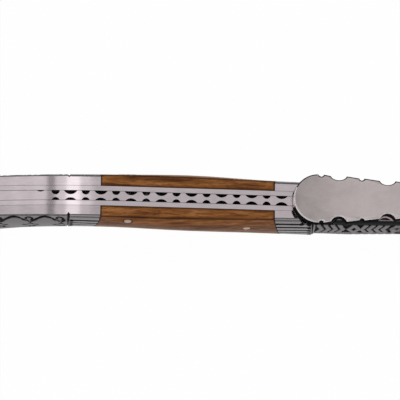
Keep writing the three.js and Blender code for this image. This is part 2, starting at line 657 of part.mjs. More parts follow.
const TANG_FLAT = SPRING_SEAT - TANG_GAP;
const CHOIL_END = KICK_LENGTH + 2 * CHOIL_RADIUS;
const RICASSO_END = CHOIL_END + RICASSO_LENGTH;
const BLADE_REACH = PIVOT.x - BLOCK_FRONT - TIP_CLEARANCE;
const bladeBackLine = lineThrough([
  [SPRING_NOSE, BLADE_BACK_AT_RICASSO],
  [RICASSO_END, BLADE_BACK_AT_RICASSO],
  [BLADE_BACK_SHARES[0] * BLADE_REACH, BLADE_BACK_AT_BELLY],
  [BLADE_BACK_SHARES[1] * BLADE_REACH, BLADE_BACK_AT_SWEEP],
  [BLADE_BACK_SHARES[2] * BLADE_REACH, BLADE_BACK_AT_POINT],
  [BLADE_REACH, -TIP_DROP],
]);
const bladeEdgeLine = lineThrough([
  [CHOIL_END, -TANG_FLAT],
  [BLADE_EDGE_SHARES[0] * BLADE_REACH, BLADE_EDGE_AT_FOREBELLY],
  [BLADE_EDGE_SHARES[1] * BLADE_REACH, BLADE_EDGE_AT_BELLY],
  [BLADE_EDGE_SHARES[2] * BLADE_REACH, BLADE_EDGE_AT_SWEEP],
  [BLADE_EDGE_SHARES[3] * BLADE_REACH, BLADE_EDGE_AT_POINT],
  [BLADE_REACH, -TIP_DROP - TIP_HEIGHT],
]);

function bladeBackAt(x) {
  return Math.min(bladeBackLine(x), PIVOT.z - STAND_CLEARANCE);
}

// The edge, held clear of the spring that lies over it when the blade is folded
function bladeEdgeAt(x) {
  const room = springUndersideAt(PIVOT.x - x) - PIVOT.z - EDGE_CLEARANCE;
  return Math.max(bladeEdgeLine(x), -Math.max(room, TANG_FLAT));
}

// Tang with flats for the open, half-open and closed blade, and the shoulder that meets the spring end
function tangOutline() {
  const cam = SPRING_SEAT - CAM_CLEARANCE;
  const shoulder = SPRING_NOSE + STOP_GAP;
  const turn = Math.acos(TANG_FLAT / cam);
  const outline = new THREE.Shape();
  outline.moveTo(KICK_LENGTH, -TANG_FLAT);
  outline.absarc(0, 0, cam, -Math.PI / 2 - turn, -Math.PI + turn, true);
  outline.absarc(0, 0, cam, Math.PI - turn, Math.PI / 2 + turn, true);
  outline.lineTo(shoulder, TANG_FLAT);
  outline.lineTo(shoulder, bladeBackAt(shoulder));
  outline.lineTo(RICASSO_END, bladeBackAt(RICASSO_END));
  outline.lineTo(RICASSO_END, bladeEdgeAt(RICASSO_END));
  outline.lineTo(CHOIL_END, -TANG_FLAT);
  outline.absarc(KICK_LENGTH + CHOIL_RADIUS, -TANG_FLAT, CHOIL_RADIUS, 0, Math.PI, false);
  return outline;
}

// Blade section at x: a flat band under the back, then the grind down to the edge
function bladeRing(x) {
  const back = bladeBackAt(x);
  const edge = bladeEdgeAt(x);
  const towardsTip = Math.max(0, (x - RICASSO_END) / (BLADE_REACH - RICASSO_END));
  const thick = THREE.MathUtils.lerp(SPRING_THICKNESS, EDGE_THICKNESS, towardsTip ** 2) / 2;
  const ground = Math.min(1, Math.max(0, (x - RICASSO_END) / PLUNGE_LENGTH));
  const thin = THREE.MathUtils.lerp(SPRING_THICKNESS, EDGE_THICKNESS, ground) / 2;
  const grind = THREE.MathUtils.lerp(back, edge, GRIND_SHARE);
  return [
    new THREE.Vector3(x, -thick, back),
    new THREE.Vector3(x, -thick, grind),
    new THREE.Vector3(x, -thin, edge),
    new THREE.Vector3(x, thin, edge),
    new THREE.Vector3(x, thick, grind),
    new THREE.Vector3(x, thick, back),
  ];
}

function bladeGeometry() {
  const places = [CHOIL_END, RICASSO_END, RICASSO_END + PLUNGE_LENGTH];
  const ground = BLADE_REACH - places.at(-1);
  const steps = Math.round(ground / STATION_STEP);
  for (let i = steps - 1; i >= 0; i--) places.push(BLADE_REACH - (ground * i) / steps);
  const tang = sidePlate(tangOutline(), -SPRING_THICKNESS / 2, SPRING_THICKNESS / 2);
  const pivotHole = throughHole(PIVOT_PIN_RADIUS + RUNNING_FIT, { x: 0, z: 0 });
  return cut(join(loft(places.map(bladeRing)), tang), [pivotHole]);
}

function named(name, geometry, finish) {
  const mesh = new THREE.Mesh(geometry, finish);
  mesh.name = name;
  return mesh;
}

// Liner, cover pieces, rivets and dowels of one side
function sideGroup(side, word) {
  const group = new THREE.Group();
  group.add(
    named(`liner_${word}`, linerGeometry(side), springSteel),
    named(`scale_${word}`, scaleGeometry(side), wood),
    named(`front_bolster_${word}`, frontBolsterGeometry(side), steel),
    named(`rear_bolster_${word}`, rearBolsterGeometry(side), steel),
    named(`front_bolster_dowel_${word}`, dowelGeometry(side, FRONT_DOWEL), steel),
    named(`rear_bolster_dowel_${word}`, dowelGeometry(side, REAR_DOWEL), steel),
  );
  for (const [name, place] of Object.entries(RIVETS)) {
    group.add(named(`scale_rivet_${name}_${word}`, rivetGeometry(side, place), rivetMetal));
  }
  return group;
}

function pinGroup() {
  const group = new THREE.Group();
  group.add(
    named("pivot_pin", bolsterPin(PIVOT_PIN_RADIUS, PIVOT), steel),
    named("spring_rear_pin", bolsterPin(REAR_PIN_RADIUS, REAR_PIN), steel),
    named("spring_middle_pin", crossBar(SPRING_PIN_RADIUS, SPRING_PIN, -LINER_OUTER, LINER_OUTER), steel),
  );
  return group;
}

function springGroup() {
  const group = new THREE.Group();
  const plate = named("spring_plate", plateGeometry(), springSteel);
  plate.position.set(PLATE_HEAD, 0, plateSeatAt(PLATE_HEAD));
  plate.rotation.y = -Math.atan(PLATE_SLOPE);
  group.add(named("back_spring", springGeometry(), springSteel), plate);
  return group;
}

// The blade turned half way round its pivot, into the handle
function bladeGroup() {
  const group = new THREE.Group();
  group.position.set(PIVOT.x, 0, PIVOT.z);
  group.rotation.y = Math.PI;
  group.add(named("blade", bladeGeometry(), bladeSteel));
  return group;
}

const knife = new THREE.Group();
knife.add(sideGroup(1, "left"), sideGroup(-1, "right"), pinGroup(), springGroup(), bladeGroup());

export default knife;
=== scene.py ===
"""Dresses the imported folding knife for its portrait.

The CAD solids are the fixed frame. Copies of them are refined into finished pieces, the bolsters are
carved, every piece gets its finish, and the floor, the light and the camera follow the photograph.
Sizes are in millimetres, and MM turns them into Blender's metres.
"""

import logging
import math
from contextlib import contextmanager
from dataclasses import dataclass
from enum import Enum
from functools import cache
from typing import Any, Callable, Iterator

import bmesh
import bpy
import numpy as np
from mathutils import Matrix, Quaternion, Vector
from mathutils.kdtree import KDTree


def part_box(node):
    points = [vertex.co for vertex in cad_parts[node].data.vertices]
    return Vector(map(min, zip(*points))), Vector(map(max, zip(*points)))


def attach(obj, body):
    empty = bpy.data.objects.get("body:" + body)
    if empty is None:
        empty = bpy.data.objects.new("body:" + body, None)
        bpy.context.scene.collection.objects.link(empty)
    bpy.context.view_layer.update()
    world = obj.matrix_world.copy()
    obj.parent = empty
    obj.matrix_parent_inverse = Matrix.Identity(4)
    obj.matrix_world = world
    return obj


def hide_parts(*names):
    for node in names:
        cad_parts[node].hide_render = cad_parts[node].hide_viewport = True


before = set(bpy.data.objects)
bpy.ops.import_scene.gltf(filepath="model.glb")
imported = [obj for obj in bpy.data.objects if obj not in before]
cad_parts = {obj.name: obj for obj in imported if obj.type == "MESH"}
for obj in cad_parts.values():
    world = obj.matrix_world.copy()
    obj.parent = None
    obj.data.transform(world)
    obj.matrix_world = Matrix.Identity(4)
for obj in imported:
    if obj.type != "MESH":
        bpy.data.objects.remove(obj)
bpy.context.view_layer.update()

LOG = logging.getLogger("knife")
MM = 0.001
# Attribute of real grime and stain, and of painted shade below the back edge, in the creases and on the wood's side.
GRIME_AND_SHADE = "grime"
Pair = tuple[float, float]
Triple = tuple[float, float, float]
Socket = bpy.types.NodeSocket
EdgeTest = Callable[[bmesh.types.BMEdge], bool]
FaceTest = Callable[[bmesh.types.BMFace], bool]


class Side(Enum):
    """The two sides of the handle, with the sign of their Y."""

    LEFT = 1
    RIGHT = -1

    def of(self, part: str) -> str:
        """The name of a part's node at this side."""
        return f"{part}_{self.name.lower()}"


class Body(Enum):
    """Bodies of the frame that pieces ride on."""

    HANDLE = "handle"
    SPRING = "spring"
    BLADE = "blade"


class Slot(Enum):
    """Material slots of the record."""

    LINER = "liner_steel"
    BOLSTER = "bolster_steel"
    PIN = "pin_steel"
    SPRING = "spring_steel"
    BLADE = "blade_steel"
    WOOD = "scale_wood"
    RIVET = "rivet_metal"


class Domain(Enum):
    """What edit mode selects, with the name of its list in a mesh."""

    VERT = "verts"
    EDGE = "edges"
    FACE = "faces"


class Shader:
    """A material under construction: nodes are added with their sockets set or linked."""

    NOISE_SPAN = (0.3, 0.7)

    def __init__(self, name: str) -> None:
        """Starts an empty material of a name."""
        self.material = bpy.data.materials.new(name)
        self.material.use_nodes = True
        self.tree = self.material.node_tree
        self.tree.nodes.clear()
        self.object_place = self.add("TexCoord").outputs["Object"]

    def add(self, kind: str, settings: dict[str, Any] | None = None, **sockets: Any) -> bpy.types.Node:
        """Adds a node.

        Args:
            kind: the node's class name, without ShaderNode before it.
            settings: properties of the node itself.
            sockets: inputs by name, with _ for a space, or by place as in_0: a value, or an output to link.

        Returns:
            The new node.
        """
        node = self.tree.nodes.new(f"ShaderNode{kind}")
        for key, value in (settings or {}).items():
            setattr(node, key, value)
        for key, value in sockets.items():
            socket = node.inputs[int(key[3:])] if key.startswith("in_") else node.inputs[key.replace("_", " ")]
            if isinstance(value, Socket):
                self.tree.links.new(value, socket)
            else:
                socket.default_value = value
        return node

    def noise(self, per_mm: Triple, detail: float = 3.0, rough: float = 0.55, bend: float = 0.0) -> Socket:
        """Noise in object space.

        Args:
            per_mm: features to the millimetre along X, Y and Z.
            detail: octaves of finer noise.
            rough: strength of the finer octaves.
            bend: how far the noise distorts itself.

        Returns:
            The noise value, around 0.5.
        """
        scale = tuple(value / MM for value in per_mm)
        place = self.add("Mapping", Vector=self.object_place, Scale=scale)
        noise = self.add(
            "TexNoise",
            Vector=place.outputs["Vector"], Scale=1.0, Detail=detail, Roughness=rough, Distortion=bend,
        )
        return noise.outputs["Fac"]

    def along(self, start: float, end: float, first: float, last: float) -> Socket:
        """A value that goes from first to last between two places along X."""
        place = self.add("SeparateXYZ", in_0=self.object_place)
        return self.spread(place.outputs["X"], start * MM, end * MM, first, last)

    def spread(self, value: Socket, low: float, high: float, to_low: float = 0.0, to_high: float = 1.0) -> Socket:
        """Maps a span of a value to another, held at its ends."""
        node = self.add("MapRange", Value=value, From_Min=low, From_Max=high, To_Min=to_low, To_Max=to_high)
        return node.outputs["Result"]

    def swing(self, noise: Socket, reach: float) -> Socket:
        """Makes noise swing about 0 by a reach."""
        return self.spread(noise, *self.NOISE_SPAN, -reach, reach)

    def between(self, share: Socket, first: float, last: float) -> Socket:
        """A value that goes from first to last as a share goes from 0 to 1."""
        return self.spread(share, 0.0, 1.0, first, last)

    def mix(self, share: Socket, first: Any, second: Any) -> Socket:
        """Mixes two colours by a share."""
        return self.add("Mix", {"data_type": "RGBA"}, in_0=share, in_6=first, in_7=second).outputs[2]

    def sum(self, first: Socket, second: Any, operation: str = "ADD") -> Socket:
        """Joins two values by an operation of the Math node."""
        return self.add("Math", {"operation": operation}, in_0=first, in_1=second).outputs[0]

    def bump(self, height: Socket, strength: float, depth: float) -> Socket:
        """Turns heights into a surface normal, for relief of a depth."""
        return self.add("Bump", Height=height, Strength=strength, Distance=depth * MM).outputs["Normal"]

    def grime(self) -> Socket:
        """The grime and painted shade that are written on the piece."""
        return self.add("Attribute", {"attribute_name": GRIME_AND_SHADE}).outputs["Fac"]

    def close(self, **sockets: Any) -> bpy.types.Material:
        """Ends the material in a Principled surface with the given sockets."""
        surface = self.add("BsdfPrincipled", **sockets)
        self.add("OutputMaterial", Surface=surface.outputs["BSDF"])
        return self.material


def rgba(colour: Triple, gain: float = 1.0) -> tuple[float, float, float, float]:
    """A linear colour with its alpha, made lighter or darker by a gain."""
    return (colour[0] * gain, colour[1] * gain, colour[2] * gain, 1.0)


@dataclass(frozen=True)
class SteelFinish:
    """Ground steel: grinding lines, soft cloudiness, and black where grime and painted shade are written on it."""

    name: str
    colour: Triple = (0.57, 0.505, 0.53)
    tone_reach: float = 0.3
    roughness: float = 0.075
    gloss_gains: Pair = (0.75, 1.3)
    lines_per_mm: Triple = (0.06, 5.0, 5.0)
    line_depth: float = 0.0012
    line_share: float = 0.07
    cloud_per_mm: Triple = (0.3, 0.45, 0.45)
    cloud_share: float = 0.06
    speck_per_mm: Triple = (1.6, 1.6, 1.6)
    speck_share: float = 0.14
    # The dark colour carries soot in the carving, grime with painted shade in the creases, and painted shade below the
    # back edge.
    darkening: Triple = (0.012, 0.011, 0.0115)
    darkening_from: float = 0.18
    darkening_to: float = 0.62
    darkening_metal: float = 0.15
    darkening_roughness: float = 0.35
    sheen: float = 0.08
    # A painted light gradient along X: where it starts and ends, and the tone shift at each.
    fade: tuple[float, float, float, float] | None = None
    glare: float = 1.0

    @cache
    def material(self) -> bpy.types.Material:
        """The steel, made on the first call, with a tone that fades between two places along X; the fade is painted
        light.
        """
        shader, reach = Shader(self.name), self.tone_reach
        lines = shader.noise(self.lines_per_mm, detail=4.0, rough=0.62)
        cloud = shader.noise(self.cloud_per_mm, detail=5.0, rough=0.6, bend=0.4)
        tone = shader.sum(shader.swing(lines, self.line_share), shader.swing(cloud, self.cloud_share))
        if self.fade:
            tone = shader.sum(tone, shader.along(*self.fade))
        light = shader.spread(tone, -reach, reach)
        bright = shader.mix(light, rgba(self.colour, 1.0 - reach), rgba(self.colour, 1.0 + reach))
        speck = shader.swing(shader.noise(self.speck_per_mm, detail=6.0, rough=0.7), self.speck_share)
        # Grime and painted shade written on the piece, with specks, blacken the steel.
        darkening = shader.spread(shader.sum(shader.grime(), speck), self.darkening_from, self.darkening_to)
        gloss = shader.spread(tone, -reach, reach, *(gain * self.roughness for gain in self.gloss_gains))
        return shader.close(
            Base_Color=shader.mix(darkening, bright, rgba(self.darkening)),
            Metallic=shader.between(darkening, 1.0, self.darkening_metal),
            Roughness=shader.sum(gloss, shader.between(darkening, 0.0, self.darkening_roughness)),
            Specular_IOR_Level=self.sheen,
            Specular_Tint=rgba((self.glare, self.glare, self.glare)),
            Normal=shader.bump(lines, 1.0, self.line_depth),
        )


@dataclass(frozen=True)
class WoodFinish:
    """Oiled hardwood: long figure along the handle, streaks, open pores, darkened edges and painted shade on the side.
    """

    name: str = "oiled_hardwood"
    dark: Triple = (0.15, 0.05, 0.018)
    body: Triple = (0.41, 0.155, 0.045)
    light: Triple = (0.66, 0.285, 0.1)
    stain_and_shade: Triple = (0.035, 0.013, 0.006)
    roughness: Pair = (0.5, 0.34)
    sheen: float = 0.04
    figure_per_mm: Triple = (0.05, 0.45, 0.3)
    figure_span: Pair = (0.36, 0.64)
    streak_per_mm: Triple = (0.14, 1.4, 1.1)
    streak_span: Pair = (0.34, 0.66)
    grain_share: float = 0.5
    dark_span: Pair = (0.1, 0.5)
    light_span: Pair = (0.5, 0.95)
    gloss_span: Pair = (0.1, 0.9)
    pore_per_mm: Triple = (0.45, 2.8, 2.4)
    pore_span: Pair = (0.36, 0.46)
    pore_share: float = 0.62
    pore_depth: float = 0.03
    streak_depth: float = 0.4
    relief: float = 0.55
    wear_share: float = 0.2
    stain_and_shade_span: Pair = (0.25, 0.9)
    stain_and_shade_share: float = 0.85

    @cache
    def material(self) -> bpy.types.Material:
        """The wood, made on the first call."""
        shader = Shader(self.name)
        figure = shader.noise(self.figure_per_mm, detail=3.0, rough=0.5, bend=0.9)
        streak = shader.noise(self.streak_per_mm, detail=5.0, rough=0.6, bend=0.5)
        pores = shader.noise(self.pore_per_mm, detail=3.0, rough=0.6)
        grain = shader.sum(
            shader.spread(figure, *self.figure_span, 0.0, self.grain_share),
            shader.spread(streak, *self.streak_span, 0.0, self.grain_share),
        )
        low = shader.mix(shader.spread(grain, *self.dark_span), rgba(self.dark), rgba(self.body))
        tone = shader.mix(shader.spread(grain, *self.light_span), low, rgba(self.light))
        open_pore = shader.spread(pores, *self.pore_span, 1.0, 0.0)
        pored = shader.mix(shader.between(open_pore, 0.0, self.pore_share), tone, rgba(self.dark))
        # Stain at the edges and painted shade on the side, with streaks of wear.
        wear_and_shade = shader.sum(shader.grime(), shader.swing(streak, self.wear_share))
        stain_and_shade = shader.spread(wear_and_shade, *self.stain_and_shade_span, 0.0, self.stain_and_shade_share)
        furrows = shader.spread(streak, *shader.NOISE_SPAN, 0.0, self.streak_depth)
        height = shader.sum(shader.between(open_pore, 1.0, 0.0), furrows)
        return shader.close(
            Base_Color=shader.mix(stain_and_shade, pored, rgba(self.stain_and_shade)),
            Roughness=shader.spread(grain, *self.gloss_span, *self.roughness),
            Specular_IOR_Level=self.sheen,
            Normal=shader.bump(height, self.relief, self.pore_depth),
        )


@dataclass(frozen=True)
class StudioFinish:
    """Pale floor that the camera and reflections see as white, and that still takes shadows."""

    name: str = "pale_floor"
    colour: Triple = (0.93, 0.93, 0.93)
    tint_per_mm: Triple = (0.004, 0.004, 0.004)
    tint_gain: float = 1.02
    glow: float = 0.985

    def material(self) -> bpy.types.Material:
        """The floor's material."""
        shader = Shader(self.name)
        path = shader.add("LightPath")
        seen = shader.sum(path.outputs["Is Camera Ray"], path.outputs["Is Glossy Ray"], "MAXIMUM")
        seen = shader.sum(seen, path.outputs["Is Transmission Ray"], "MAXIMUM")
        tint = shader.spread(shader.noise(self.tint_per_mm), *shader.NOISE_SPAN)
        paper = shader.mix(tint, rgba(self.colour), rgba(self.colour, self.tint_gain))
        plain = shader.add("BsdfDiffuse", Color=paper)
        white = shader.add("Emission", Color=(1.0, 1.0, 1.0, 1.0), Strength=1.0)
        share = shader.between(seen, 0.0, self.glow)
        mixed = shader.add("MixShader", in_0=share, in_1=plain.outputs[0], in_2=white.outputs[0])
        shader.add("OutputMaterial", Surface=mixed.outputs[0])
        return shader.material


Finish = SteelFinish | WoodFinish
BACK_STEEL = SteelFinish("ground_steel_back")
BOLSTER_STEEL = SteelFinish("ground_steel_bolster")
# A darker copy of the bolster steel, for the right rear bolster.
DARKER_STEEL = SteelFinish("worn_steel_bolster", colour=(0.473, 0.419, 0.44))
CARVED_STEEL = SteelFinish(
    "antique_steel_carved", colour=(0.24, 0.225, 0.235), roughness=0.34, lines_per_mm=(0.5, 3.0, 3.0), cloud_share=0.12,
    glare=0.55,
)
REED_STEEL = SteelFinish(
    "ground_steel_reeds", colour=(0.28, 0.262, 0.272), roughness=0.32, glare=0.8, darkening_from=0.1, darkening_to=0.45,
)
# The plate's fade paints light on it: darker at the round head, lighter towards the pivot.
PLATE_STEEL = SteelFinish(
    "satin_steel_plate", colour=(0.53, 0.464, 0.464), roughness=0.26,
    lines_per_mm=(1.1, 3.5, 3.5), line_depth=0.0016, line_share=0.04, cloud_per_mm=(0.22, 0.3, 0.3), cloud_share=0.1,
    fade=(24.0, 40.0, -0.27, 0.27),
)
# A lighter copy of the plate steel for the chamfers: a painted highlight.
PAINTED_HIGHLIGHT_RIM_STEEL = SteelFinish("polished_steel_rim", colour=(0.86, 0.81, 0.81), roughness=0.5, lines_per_mm=(2.0, 2.0, 2.0))
# Near black for the plate's walls and far chamfers: painted shade.
PAINTED_SHADE_WALL_STEEL = SteelFinish("forge_black_wall", colour=(0.05, 0.046, 0.047), roughness=0.42, cloud_share=0.2, glare=0.1)
BLADE_STEEL = SteelFinish(
    "satin_steel_blade", colour=(0.6, 0.59, 0.6), roughness=0.22, lines_per_mm=(8.0, 8.0, 0.25), cloud_share=0.04,
)
PIN_STEEL = SteelFinish("ground_steel_pins", roughness=0.3, lines_per_mm=(3.0, 3.0, 3.0), line_share=0.06)
# A darker copy of the pin steel: painted shade on the pivot pin and the middle pin.
SHADED_STEEL = SteelFinish("tarnished_steel_pin", colour=(0.14, 0.132, 0.135), roughness=0.35, glare=0.3)
# Near black for faces inside the handle that show down the scallops: painted shade.
PAINTED_SHADE_STEEL = SteelFinish(
    "blackened_steel", colour=(0.016, 0.015, 0.0155), roughness=0.5, line_depth=0.002, cloud_share=0.2,
)
RIVET_METAL = SteelFinish(
    "pale_rivet_metal", colour=(0.42, 0.31, 0.23), roughness=0.38, lines_per_mm=(2.0, 2.0, 2.0), line_share=0.14,
)
HARDWOOD = WoodFinish()


def turn_of(edge: bmesh.types.BMEdge) -> float:
    """The turn of an edge in radians, above 0 on a ridge and below 0 in a valley."""
    return edge.calc_face_angle_signed(0.0) if len(edge.link_faces) == 2 else 0.0


@dataclass
class Workpiece:
    """A mesh on the bench, with its place in its mesh, shaped by Blender's own operators."""

    obj: bpy.types.Object

    @classmethod
    def copy_of(cls, node: str, name: str, merge: float = 0.002) -> "Workpiece":
        """Copies a CAD node and merges its loose triangles.

        Args:
            node: name of the CAD node.
            name: name of the new piece.
            merge: points closer than this become one.

        Returns:
            The copy, as one closed mesh.
        """
        obj = bpy.data.objects.new(name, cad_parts[node].data.copy())
        bpy.context.scene.collection.objects.link(obj)
        obj.data.materials.clear()
        piece = cls(obj)
        piece.activate()
        bpy.ops.mesh.customdata_custom_splitnormals_clear()
        with piece.editing(Domain.VERT):
            bpy.ops.mesh.select_all(action="SELECT")
            bpy.ops.mesh.remove_doubles(threshold=merge * MM)
        return piece

    def activate(self) -> None:
        """Makes this piece the only selected and the active one."""
        bpy.ops.object.select_all(action="DESELECT")
        self.obj.select_set(True)
        bpy.context.view_layer.objects.active = self.obj

    @contextmanager
    def editing(self, domain: Domain) -> Iterator[None]:
        """Edit mode on this piece, with nothing selected."""
        self.activate()
        bpy.ops.object.mode_set(mode="EDIT")
        bpy.ops.mesh.select_mode(type=domain.name)
        bpy.ops.mesh.select_all(action="DESELECT")
        yield
        bpy.ops.object.mode_set(mode="OBJECT")

    def pick(self, domain: Domain, test: Callable[[Any], bool]) -> int:
        """Selects the edges or faces that pass a test, in edit mode, and counts them."""
        mesh = bmesh.from_edit_mesh(self.obj.data)
        chosen = [item for item in getattr(mesh, domain.value) if test(item)]
        for item in chosen:
            item.select_set(True)
        bmesh.update_edit_mesh(self.obj.data)
        return len(chosen)

    def points(self) -> Iterator[Vector]:
        """The place of each point, to be changed in turn. The mesh is updated after the last."""
        for vertex in self.obj.data.vertices:
            yield vertex.co
        self.obj.data.update()

    def apply(self, kind: str, **settings: Any) -> None:
        """Adds a modifier with the given settings and applies it."""
        self.activate()
        modifier = self.obj.modifiers.new(kind.lower(), kind)
        for key, value in settings.items():
            setattr(modifier, key, value)
        bpy.ops.object.modifier_apply(modifier=modifier.name)

    def to_quads(self, bend: float = 60.0, skew: float = 75.0) -> None:
        """Joins the triangles of the loft back into four-sided faces, up to a bend and a skew in degrees."""
        with self.editing(Domain.FACE):
            bpy.ops.mesh.select_all(action="SELECT")
            bpy.ops.mesh.tris_convert_to_quads(face_threshold=math.radians(bend), shape_threshold=math.radians(skew))

    def halve(self, test: EdgeTest) -> None:
        """Halves the edges that pass a test until none is left."""
        with self.editing(Domain.EDGE):
            while self.pick(Domain.EDGE, test):
                bpy.ops.mesh.subdivide(number_cuts=1, ngon=False)
                bpy.ops.mesh.select_all(action="DESELECT")

    def crease_sharp(self, bend: float, fold: float, ridge: float = 0.4) -> None:
        """Creases valleys and folds fully, and lesser ridges so that they round a little.

        Args:
            bend: least turn of an edge that counts, in degrees.
            fold: turn from which an outward edge stays sharp, in degrees.
            ridge: crease of the lesser ridges.
        """
        least, most = math.radians(bend), math.radians(fold)
        for crease, low, high in ((1.0, -math.pi, -least), (ridge, least, most), (1.0, most, math.pi)):
            with self.editing(Domain.EDGE):
                self.pick(Domain.EDGE, lambda edge: low <= turn_of(edge) < high)
                bpy.ops.transform.edge_crease(value=crease)

    def even_back(self, upward: float = 0.9, reach: float = 0.12) -> None:
        """Gives the faces of the back the normals of the back line, as the layers are ground together.

        Args:
            upward: least Z of a face's normal that counts as the back.
            reach: how far from the back line a face may lie.
        """
        backs, _, slopes = back_line()
        mesh = self.obj.data
        normals = self.read(mesh.corner_normals, "vector", 3)
        middles, facing = self.read(mesh.polygons, "center", 3) / MM, self.read(mesh.polygons, "normal", 3)
        flat = (facing[:, 2] > upward) & (np.abs(depth_at(middles)) < reach)
        corners = np.repeat(flat, self.read(mesh.polygons, "loop_total", 1).astype(int))
        points = self.read(mesh.loops, "vertex_index", 1).astype(int)[corners]
        slope = np.interp(self.read(mesh.vertices, "co", 3)[points, 0] / MM, backs, slopes)
        across = np.stack([-slope, np.zeros_like(slope), np.ones_like(slope)], axis=1)
        normals[corners] = across / np.linalg.norm(across, axis=1, keepdims=True)
        mesh.normals_split_custom_set(normals)

    @staticmethod
    def read(items: Any, key: str, width: int) -> np.ndarray:
        """Numbers of all items of a mesh as an array, one row each where there are several."""
        kind = np.int32 if key in ("loop_total", "vertex_index") else np.float32
        values = np.empty(len(items) * width, kind)
        items.foreach_get(key, values)
        return values.astype(float).reshape(-1, width) if width > 1 else values

    def soil_and_shade(self, test: EdgeTest, reach: float) -> None:
        """Writes the attribute of grime and painted shade: 1 on the edges that pass a test, falling to 0 at a reach."""
        mesh = bmesh.new()
        mesh.from_mesh(self.obj.data)
        chosen = [vert.co for edge in mesh.edges if test(edge) for vert in edge.verts]
        tree = KDTree(len(chosen))
        for index, place in enumerate(chosen):
            tree.insert(place, index)
        tree.balance()
        layer = mesh.verts.layers.float.new(GRIME_AND_SHADE)
        for vert in mesh.verts:
            vert[layer] = max(0.0, 1.0 - tree.find(vert.co)[2] / (reach * MM))
        mesh.to_mesh(self.obj.data)
        mesh.free()

    def soften(self, width: float, angle: float = 35.0, clamp: bool = False) -> None:
        """Rounds edges by a width where they turn by more than an angle, held back by short edges if clamped."""
        limit = {"limit_method": "ANGLE", "angle_limit": math.radians(angle), "use_clamp_overlap": clamp}
        self.apply("BEVEL", width=width * MM, segments=2, **limit)

    def shade(self, angle: float = 32.0, weighted: bool = True) -> None:
        """Shades smooth below an angle, with normals led by the larger faces where weighted."""
        self.activate()
        bpy.ops.object.shade_smooth_by_angle(angle=math.radians(angle))
        if weighted:
            self.apply("WEIGHTED_NORMAL", keep_sharp=True, mode="FACE_AREA", weight=80)

    def dress(self, *finishes: Finish) -> None:
        """Gives the piece its finishes, the first one everywhere."""
        for finish in finishes:
            self.obj.data.materials.append(finish.material())

    def dress_faces(self, slot: int, test: FaceTest) -> None:
        """Gives the faces that pass a test another of the piece's finishes."""
        with self.editing(Domain.FACE):
            self.pick(Domain.FACE, test)
            self.obj.active_material_index = slot
            bpy.ops.object.material_slot_assign()

    def place(self, node: str, body: Body, slot: Slot) -> None:
        """Puts the piece in the frame.

        Args:
            node: the CAD node that it stands for.
            body: the body that it moves with.
            slot: the record's slot that its finish comes from; it is not used.
        """
        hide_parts(node)
        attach(self.obj, body.value)
        LOG.info("%s: %d faces", self.obj.name, len(self.obj.data.polygons))


def inner_flat(node: str) -> float:
    """Y of the flat inner face of a CAD node at one side of the handle."""
    return min(abs(corner.y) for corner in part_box(node)) / MM


def lengthwise(step: float, inner: float) -> EdgeTest:
    """A test for edges that run along X for more than a step, but not across the flat at Y inner."""
    flat, steep, level = (inner + 0.05) * MM, 0.6, 1.6

    def test(edge: bmesh.types.BMEdge) -> bool:
        first, second = edge.verts
        run = second.co - first.co
        hidden = max(abs(first.co.y), abs(second.co.y)) < flat and abs(run.z) > abs(run.x) * steep
        return abs(run.x) > step * MM and abs(run.x) > level * abs(run.z) and not hidden

    return test


def upright(step: float, inner: float) -> EdgeTest:
    """A test for edges longer than a step that run up the side, clear of the flat at Y inner."""
    clear, rise = (inner + 0.6) * MM, 0.7

    def test(edge: bmesh.types.BMEdge) -> bool:
        first, second = edge.verts
        run = second.co - first.co
        outside = min(abs(first.co.y), abs(second.co.y)) > clear
        return outside and run.length > step * MM and abs(run.z) > rise * run.length

    return test


@cache
def back_line() -> tuple[np.ndarray, np.ndarray, np.ndarray]:
    """The line of the handle's back, from the highest edges of the left liner.

    Returns:
        Places along X and heights, without the pocket of the plate's head, and slopes.
    """
    step, pocket_gap, pocket_run, smooth = 0.4, 1.0, 14.0, 9
    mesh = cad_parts["liner_left"].data
    points = np.array([vertex.co for vertex in mesh.vertices]) / MM
    ends = points[np.array([edge.vertices for edge in mesh.edges])][:, :, (0, 2)]
    ends = np.where(ends[:, :1, :1] <= ends[:, 1:, :1], ends, ends[:, ::-1])
    (low, low_z), (high, high_z) = ends[:, 0].T, ends[:, 1].T
    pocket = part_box("spring_plate")[0].x / MM - pocket_gap
    places = np.arange(low.min() + 0.1, high.max(), step)
    places = places[(places < pocket) | (places > pocket + pocket_run)]
    heights = []
    for place in places:
        over = (low <= place) & (high >= place) & (high - low > 1e-4)
        share = (place - low[over]) / (high - low)[over]
        heights.append((low_z[over] + share * (high_z - low_z)[over]).max())
    slopes = np.pad(np.gradient(np.array(heights), places), smooth // 2, mode="edge")
    return places, np.array(heights), np.convolve(slopes, np.ones(smooth) / smooth, mode="valid")


def depth_at(points: np.ndarray) -> np.ndarray:
    """How far points, as rows of x, y and z, lie below the back."""
    return np.interp(points[:, 0], *back_line()[:2]) - points[:, 2]


def ramp(values: np.ndarray, start: float, run: float, least: float = 0.0) -> np.ndarray:
    """A share that rises from a least value to 1, as values pass from a start through a run."""
    return np.clip((values - start) / run, least, 1.0)


@dataclass(frozen=True)
class Stroke:
    """A line of ornament through (x, depth below the back), with a half width at each point."""

    points: np.ndarray
    widths: np.ndarray

    def nearness(self, places: np.ndarray) -> np.ndarray:
        """How near places, as rows of x and depth, are: 1 on the line, 0 at its edge and less outside."""
        best = np.full(len(places), -9.0)
        for start, end, wide, wide_end in zip(self.points[:-1], self.points[1:], self.widths[:-1], self.widths[1:]):
            along = end - start
            share = np.clip((places - start) @ along / max(float(along @ along), 1e-9), 0.0, 1.0)
            gap = np.linalg.norm(places - start - share[:, None] * along, axis=1)
            best = np.maximum(best, 1.0 - gap / (wide + share * (wide_end - wide)))
        return best


